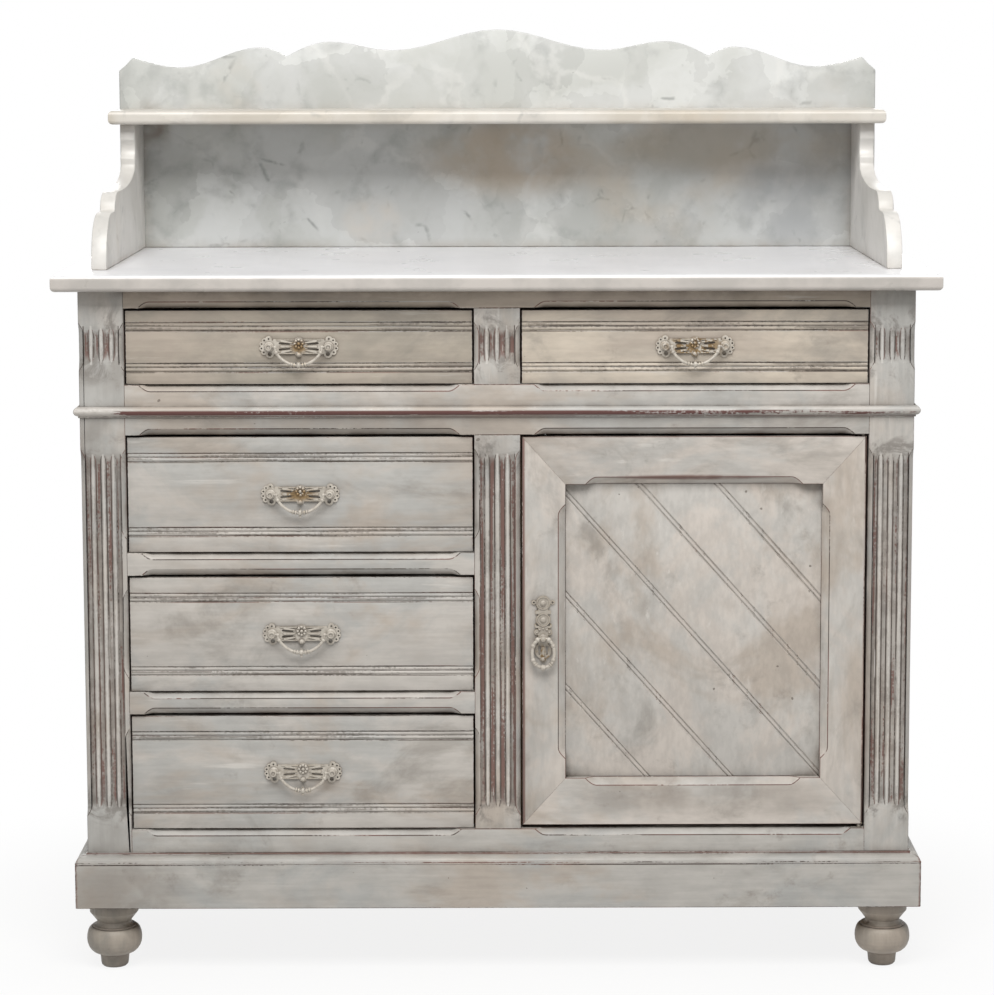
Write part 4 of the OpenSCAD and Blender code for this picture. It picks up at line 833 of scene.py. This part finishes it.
# The brackets' stone is the splashback's, made lighter: painted light on their faces.
marble_bracket_lit = marble("marble_bracket_lit", (0.67, 0.655, 0.63), (0.615, 0.60, 0.57), 0.5, 1.0, 0.45,
                        0.4)
marble_back = marble("marble_back", (0.560, 0.572, 0.565), (0.475, 0.487, 0.468), 1.0, 2.8, 0.6,
                     0.4, spots=BACK_STAINS_AND_SHADE)
# Painted shadow and shade are counted among these spots.
print("the slab's top is at", round(Z_SLAB, 4), "and its back has", len(BACK_STAINS_AND_SHADE), "stains")


# %% [markdown]
# ### Bare pine and cast brass
#
# Inside, the boards were never painted. The brass was painted over with the
# rest and rubbed clean again here and there, so it is pale on top, dark in its
# hollows, and gold only where a hand or a cloth reached it.


# %% Bare wood
def bare_wood(name, direction):
    made, tree, shader, place = material(name)
    along = stretched(tree, place, direction, 0.05)
    rings = noise(tree, along, 38.0, 6.0, 0.6, Distortion=0.8)
    pores = noise(tree, along, 260.0, 2.0)
    colour = mix(tree, ramp(tree, rings, 0.38, 0.64), PINE_LIGHT, PINE_DARK)
    colour = mix(tree, ramp(tree, pores, 0.55, 0.75, 0.0, 0.35), colour, PINE_DARK)
    # Darker corners inside: dirt and painted shade.
    colour = with_dirt_and_shade(tree, place, colour, 0.03, 0.55)
    wire(tree, shader, Base_Color=colour, Roughness=0.72, Normal=bump(tree, rings, 0.2, 0.0004))
    return made


wood_x, wood_y, wood_z = (bare_wood("bare_wood_" + axis, axis) for axis in "xyz")


# %% Cast brass under old paint
def painted_brass(name, bare, gilt=None, gilt_cover=0.5, paint=(0.52, 0.485, 0.43)):
    """Gilt names a spot on the front and its reach, where the paint is rubbed off down to gold."""
    made, tree, shader, place = material(name)
    patches = noise(tree, place, 150.0, 4.0, 0.6)
    worn = use(tree, worn_edges, Place=place, Reach=0.0011, Fineness=260.0, Amount=0.30)
    colour = mix(tree, ramp(tree, patches, 0.42, 0.68, 0.0, 0.6), paint, (0.30, 0.265, 0.225))
    shown = product(tree, worn.outputs["Mask"], bare)
    colour = mix(tree, shown, colour, PALE_BRASS)
    if gilt:
        speckle = math_node(tree, "ADD", noise(tree, place, 170.0, 3.0, 0.6, 2.0), gilt_cover - 0.5)
        golden = product(tree, near_spot(tree, place, *gilt), ramp(tree, speckle, 0.47, 0.53), 0.92)
        colour = mix(tree, golden, colour, GOLD)
        shown = largest(tree, shown, product(tree, golden, 0.35))
    colour = with_dirt_and_shade(tree, place, colour, 0.0028, 1.6, BRASS_DIRT)
    wire(tree, shader, Base_Color=colour, Metallic=shown, Roughness=0.42,
         Normal=bump(tree, patches, 0.2, 0.0003))
    return made


def pull_middle(drawer):
    """X and Z of the middle of a drawer's pull."""
    lo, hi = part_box(drawer + "_plate")
    return ((lo[0] + hi[0]) / 2, (lo[2] + hi[2]) / 2)


# %% Brass finishes: how bare each pull is, how far its gold spot reaches, and how full it is
RING_SPOT = ((0.0555, 0.392), (0.014, 0.022))
GILT_PULLS = {"upper_left": (0.5, (0.014, 0.011), 0.62), "upper_right": (0.9, (0.050, 0.020), 0.50),
              "first": (0.5, (0.026, 0.011), 0.56)}
brass_pull = painted_brass("brass_pull", 0.45)
brass_bail = painted_brass("brass_bail", 0.8)
brass_bare = painted_brass("brass_bare", 1.0)
brass_ring = painted_brass("brass_ring", 0.9, RING_SPOT, 0.46, paint=(0.41, 0.375, 0.325))
brass_of = dict.fromkeys(DRAWERS, brass_pull)
for drawer, (bare, reach, cover) in GILT_PULLS.items():
    brass_of[drawer] = painted_brass("brass_" + drawer, bare, (pull_middle(drawer), reach), cover)
print("materials, the frame's own among them:", len(bpy.data.materials))


# %% [markdown]
# ## Dress the CAD nodes
#
# Every node keeps its shape and gets the finish that its board runs in. The
# arris finish beside it is for the rounded edges of the next step.

# %% Which finish each node wears
finish_of = {
    "marble_top": marble_slab, "marble_shelf": marble_ledge, "splashback": marble_back,
    "bracket_left": marble_bracket_lit, "bracket_right": marble_bracket_lit,
    "front_stile_left": paint_stile, "front_stile_right": paint_stile_right,
    "muntin_upper": paint_muntin, "muntin_lower": paint_muntin,
    "top_rail": paint_top_rail, "frieze_rail": paint_rail,
    "drawer_rail_upper": paint_rail, "drawer_rail_lower": paint_rail,
    "bottom_rail": paint_plinth, "waist_moulding": paint_band,
    "plinth_boards": paint_plinth, "plinth_moulding": paint_plinth, "feet": paint_foot,
    **dict.fromkeys(SIDES, paint_side),
    "back_rails": wood_x, "back_boards": wood_z, "deck_board": wood_x, "floor_board": wood_x,
    "partitions": wood_y, "drawer_runners": wood_y, "door_stop": wood_z,
    **dict.fromkeys(["hinge_pins", "catch_strike", "pivot_plates", "door_catch"], brass_bare),
    **dict.fromkeys(DOOR_STILES, paint_door_z), **dict.fromkeys(DOOR_RAILS, paint_door_x),
    "door_panel": paint_panel, "door_pull_plate": brass_ring, "door_pull_ring": brass_bail,
}
arris_of = {
    **dict.fromkeys(STILES + SIDES, arris_z),
    **dict.fromkeys(RAILS + ["waist_moulding"], arris_x),
    **dict.fromkeys(["plinth_boards", "plinth_moulding"], arris_plinth),
    **dict.fromkeys(DOOR_STILES, arris_door_z), **dict.fromkeys(DOOR_RAILS, arris_door_x),
    "door_panel": arris_panel,
}
drawer_paint = {"upper_left": paint_drawer_shaded, "upper_right": paint_drawer_warm}
for drawer in DRAWERS:
    finish_of[drawer + "_front"] = drawer_paint.get(drawer, paint_drawer)
    finish_of[drawer + "_box"] = wood_y
    finish_of[drawer + "_plate"] = brass_of[drawer]
    finish_of[drawer + "_bail"] = brass_bail
    arris_of[drawer + "_front"] = arris_drawer

# %% Dress them
for node, finish in finish_of.items():
    cad = frame["nodes"][node]
    for slot in cad.material_slots:
        slot.link = "OBJECT"
        slot.material = finish
print("dressed", len(finish_of), "nodes of", len(frame["nodes"]))

# %% [markdown]
# ## Soften the edges
#
# A CAD edge is perfectly sharp, and paint never is. Each visible board gets a
# copy whose loose triangles are merged and whose flat faces are joined, and
# then its sharp edges are rounded by a fraction of a millimetre. The copy
# stands for the node, so the edge catches the light, and the new narrow faces
# take the arris finish. A bevel modifier is used, because it reads a weight on
# each edge: an edge where a board butts or is mitred against the next one gets
# a fifth of the width, so that a joint stays a hairline.

# %% How edges are chosen
SHARP = math.radians(32)
FLAT = math.radians(0.3)
MERGE_WITHIN = 0.01 * MM
END_WITHIN = 0.2 * MM
SHORTEST_MITRE = 20 * MM
SHORTEST_EDGE, SHORTEST_MARBLE_EDGE = 0.5 * MM, 2.5 * MM
JOINT_SHARE = 0.2


def at_joint(a, b, ends, joint):
    """True for an edge on the butted end of a board, or on the diagonal where it is mitred."""
    if joint is None:
        return False
    axis = max(range(3), key=lambda i: ends[1][i] - ends[0][i])
    on_end = any(abs(a[axis] - end[axis]) < END_WITHIN and abs(b[axis] - end[axis]) < END_WITHIN
                 for end in ends)
    run = b - a
    diagonal = run.length > SHORTEST_MITRE and abs(abs(run.x) - abs(run.z)) < 0.1 * run.length
    return on_end or (joint == "mitred" and diagonal)


def on_ridge(a, b):
    """True on the ridge between a stile's reeded field and its chamfer, too narrow to round."""
    return all(RIDGE[0] < abs(abs(point.x) - X_STILE) < RIDGE[1] for point in (a, b))


# %% Rounded copies
def only(piece):
    """Selects one object and nothing else."""
    bpy.ops.object.select_all(action="DESELECT")
    piece.select_set(True)
    bpy.context.view_layer.objects.active = piece


def softened(node, width, shortest, joint):
    """A copy of a node with its sharp edges rounded, which stands for the node."""
    piece = bpy.data.objects.new(node + "_soft", frame["nodes"][node].data.copy())
    bpy.context.scene.collection.objects.link(piece)
    arris = arris_of.get(node)
    piece.data.materials.clear()
    piece.data.materials.append(finish_of[node])
    if arris:
        piece.data.materials.append(arris)
    only(piece)
    bpy.ops.object.mode_set(mode="EDIT")
    bpy.ops.mesh.select_all(action="SELECT")
    bpy.ops.mesh.remove_doubles(threshold=MERGE_WITHIN)
    bpy.ops.mesh.dissolve_limited(angle_limit=FLAT)
    bpy.ops.mesh.select_all(action="DESELECT")
    bpy.ops.mesh.select_mode(type="EDGE")
    bpy.ops.mesh.edges_select_sharp(sharpness=SHARP)
    bpy.ops.object.mode_set(mode="OBJECT")
    points, ends = piece.data.vertices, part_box(node)
    weights = piece.data.attributes.new("bevel_weight_edge", "FLOAT", "EDGE")
    for edge, weight in zip(piece.data.edges, weights.data):
        a, b = (points[index].co for index in edge.vertices)
        if edge.select and (a - b).length > shortest:
            weight.value = JOINT_SHARE if on_ridge(a, b) or at_joint(a, b, ends, joint) else 1.0
    rounding = piece.modifiers.new("rounding", "BEVEL")
    rounding.width, rounding.segments = width, 2
    rounding.limit_method, rounding.use_clamp_overlap = "WEIGHT", False
    rounding.material = 1 if arris else -1
    bpy.ops.object.modifier_apply(modifier="rounding")
    bpy.ops.object.shade_smooth_by_angle(angle=SHARP)
    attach(piece, body_of[node])
    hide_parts(node)


# %% Soften every board that shows; widths in millimetres
bodies = frame["record"]["behaviour"]["bodies"]
body_of = {node: body for body, nodes in bodies.items() for node in nodes}
MARBLE_WIDTH = {"marble_top": 0.8, "marble_shelf": 0.8, "splashback": 1.6, "bracket_left": 1.6,
                "bracket_right": 1.6}
edge_width = {
    **MARBLE_WIDTH, **dict.fromkeys(STILES, 0.45), **dict.fromkeys(RAILS, 0.7),
    "waist_moulding": 0.35, "plinth_boards": 0.9, "plinth_moulding": 0.5,
    "rear_posts": 0.8, "side_rails": 0.6, "side_panel_left": 0.5, "side_panel_right": 0.5,
    "back_boards": 0.5, **dict.fromkeys(DOOR_STILES + DOOR_RAILS, 0.6), "door_panel": 0.3,
    **{drawer + "_front": 0.4 for drawer in DRAWERS},
}
joint_of = {**dict.fromkeys(RAILS, "butted"), **dict.fromkeys(DOOR_STILES + DOOR_RAILS, "mitred")}
for node, width in edge_width.items():
    shortest = SHORTEST_MARBLE_EDGE if node in MARBLE_WIDTH else SHORTEST_EDGE
    softened(node, width * MM, shortest, joint_of.get(node))
print("softened", len(edge_width), "nodes")

# %% [markdown]
# ## Floor, light and camera
#
# The photograph is a plain studio view on white. The floor keeps a soft
# shadow, and its far part and the world show white to the camera only, so no
# extra light falls on the washstand. One large lamp high in front throws the
# shadow of the marble on the rail below it, and the pale world fills it. A
# weak lamp low behind lights the back boards, and nothing that shows in front.

# %% Values of the stage
WHITE = (1.0, 1.0, 1.0)
FLOOR_SIZE, FLOOR_GREY = 40.0, (0.80, 0.80, 0.80)
FLOOR_NEAR, FLOOR_FAR = 0.45, 1.0
FLOOR_NEAR_WHITE = 0.86
WORLD_LEVEL, WORLD_TINT = 0.25, (1.0, 0.955, 0.885)
LAMP_TINT = (1.0, 0.99, 0.975)


# %% Floor
def white_to_camera(tree):
    """1 for rays that show the background: camera, mirror and glass rays."""
    path = tree.nodes.new("ShaderNodeLightPath")
    return largest(tree, *(path.outputs[f"Is {kind} Ray"]
                           for kind in ("Camera", "Glossy", "Transmission")))


def build_floor():
    bpy.ops.object.select_all(action="DESELECT")
    bpy.ops.mesh.primitive_plane_add(size=FLOOR_SIZE, location=(0.0, 0.0, 0.0))
    floor = bpy.context.object
    floor.name = "floor"
    made, tree, shader, place = material("floor_white")
    wire(tree, shader, Base_Color=FLOOR_GREY, Roughness=0.9, Specular_IOR_Level=0.1)
    glow = add(tree, "Emission", Color=WHITE, Strength=1.0)
    away = length_of(tree, mapped(tree, place, (1.0, 1.25, 1.0)))
    far = ramp(tree, away, FLOOR_NEAR, FLOOR_FAR, FLOOR_NEAR_WHITE, 1.0)
    joined = tree.nodes.new("ShaderNodeMixShader")
    tree.links.new(product(tree, far, white_to_camera(tree)), joined.inputs[0])
    tree.links.new(shader.outputs[0], joined.inputs[1])
    tree.links.new(glow.outputs[0], joined.inputs[2])
    tree.links.new(joined.outputs[0], tree.nodes["Material Output"].inputs["Surface"])
    floor.data.materials.append(made)


build_floor()


# %% World
def build_world(level, tint):
    world = bpy.data.worlds.new("studio")
    bpy.context.scene.world = world
    world.use_nodes = True
    tree = world.node_tree
    seen = white_to_camera(tree)
    wire(tree, tree.nodes["Background"], Color=mix(tree, seen, tint, WHITE),
         Strength=ramp(tree, seen, 0.0, 1.0, level, 1.0))


build_world(WORLD_LEVEL, WORLD_TINT)


# %% Lamps
def lamp(name, place, target, size, power):
    data = bpy.data.lights.new(name, "AREA")
    data.shape, data.size, data.size_y = "RECTANGLE", size[0], size[1]
    data.energy, data.color = power, LAMP_TINT
    made = bpy.data.objects.new(name, data)
    bpy.context.scene.collection.objects.link(made)
    aim = (Vector(target) - Vector(place)).to_track_quat("-Z", "Y")
    made.matrix_world = Matrix.Translation(place) @ aim.to_matrix().to_4x4()
    print(name, "gives", power, "watts from", place)


lamp("high_front", (0.0, -2.1, 3.1), (0.0, -0.1, 0.6), (2.4, 1.5), 115.0)
lamp("low_back", (0.0, 3.0, 1.25), (0.0, 0.0, 0.6), (2.4, 1.2), 36.0)

# %% [markdown]
# The camera was fitted to the corners of the marble and the plinth. The
# photograph was trimmed after it was taken, so the middle of the lens lies a
# little above and right of its middle, which the two shifts bring back.

# %% Camera
CAMERA_PLACE = (0.0119, -3.9427, 1.1442)
LOOK_DOWN, TURN, ROLL = math.radians(7.011), math.radians(-0.209), math.radians(-0.094)
LENS, SENSOR_WIDTH = 111.88, 36.0
SHIFT_X, SHIFT_Y = -0.0213, -0.0801
camera = bpy.data.objects.new("camera", bpy.data.cameras.new("camera"))
bpy.context.scene.collection.objects.link(camera)
camera.data.lens, camera.data.sensor_width = LENS, SENSOR_WIDTH
camera.data.shift_x, camera.data.shift_y = SHIFT_X, SHIFT_Y
camera.matrix_world = (
    Matrix.Translation(CAMERA_PLACE)
    @ Matrix.Rotation(TURN, 4, "Z")
    @ Matrix.Rotation(math.radians(90.0) - LOOK_DOWN, 4, "X")
    @ Matrix.Rotation(ROLL, 4, "Z")
)
bpy.context.scene.camera = camera
bpy.context.scene.view_settings.view_transform = "Standard"
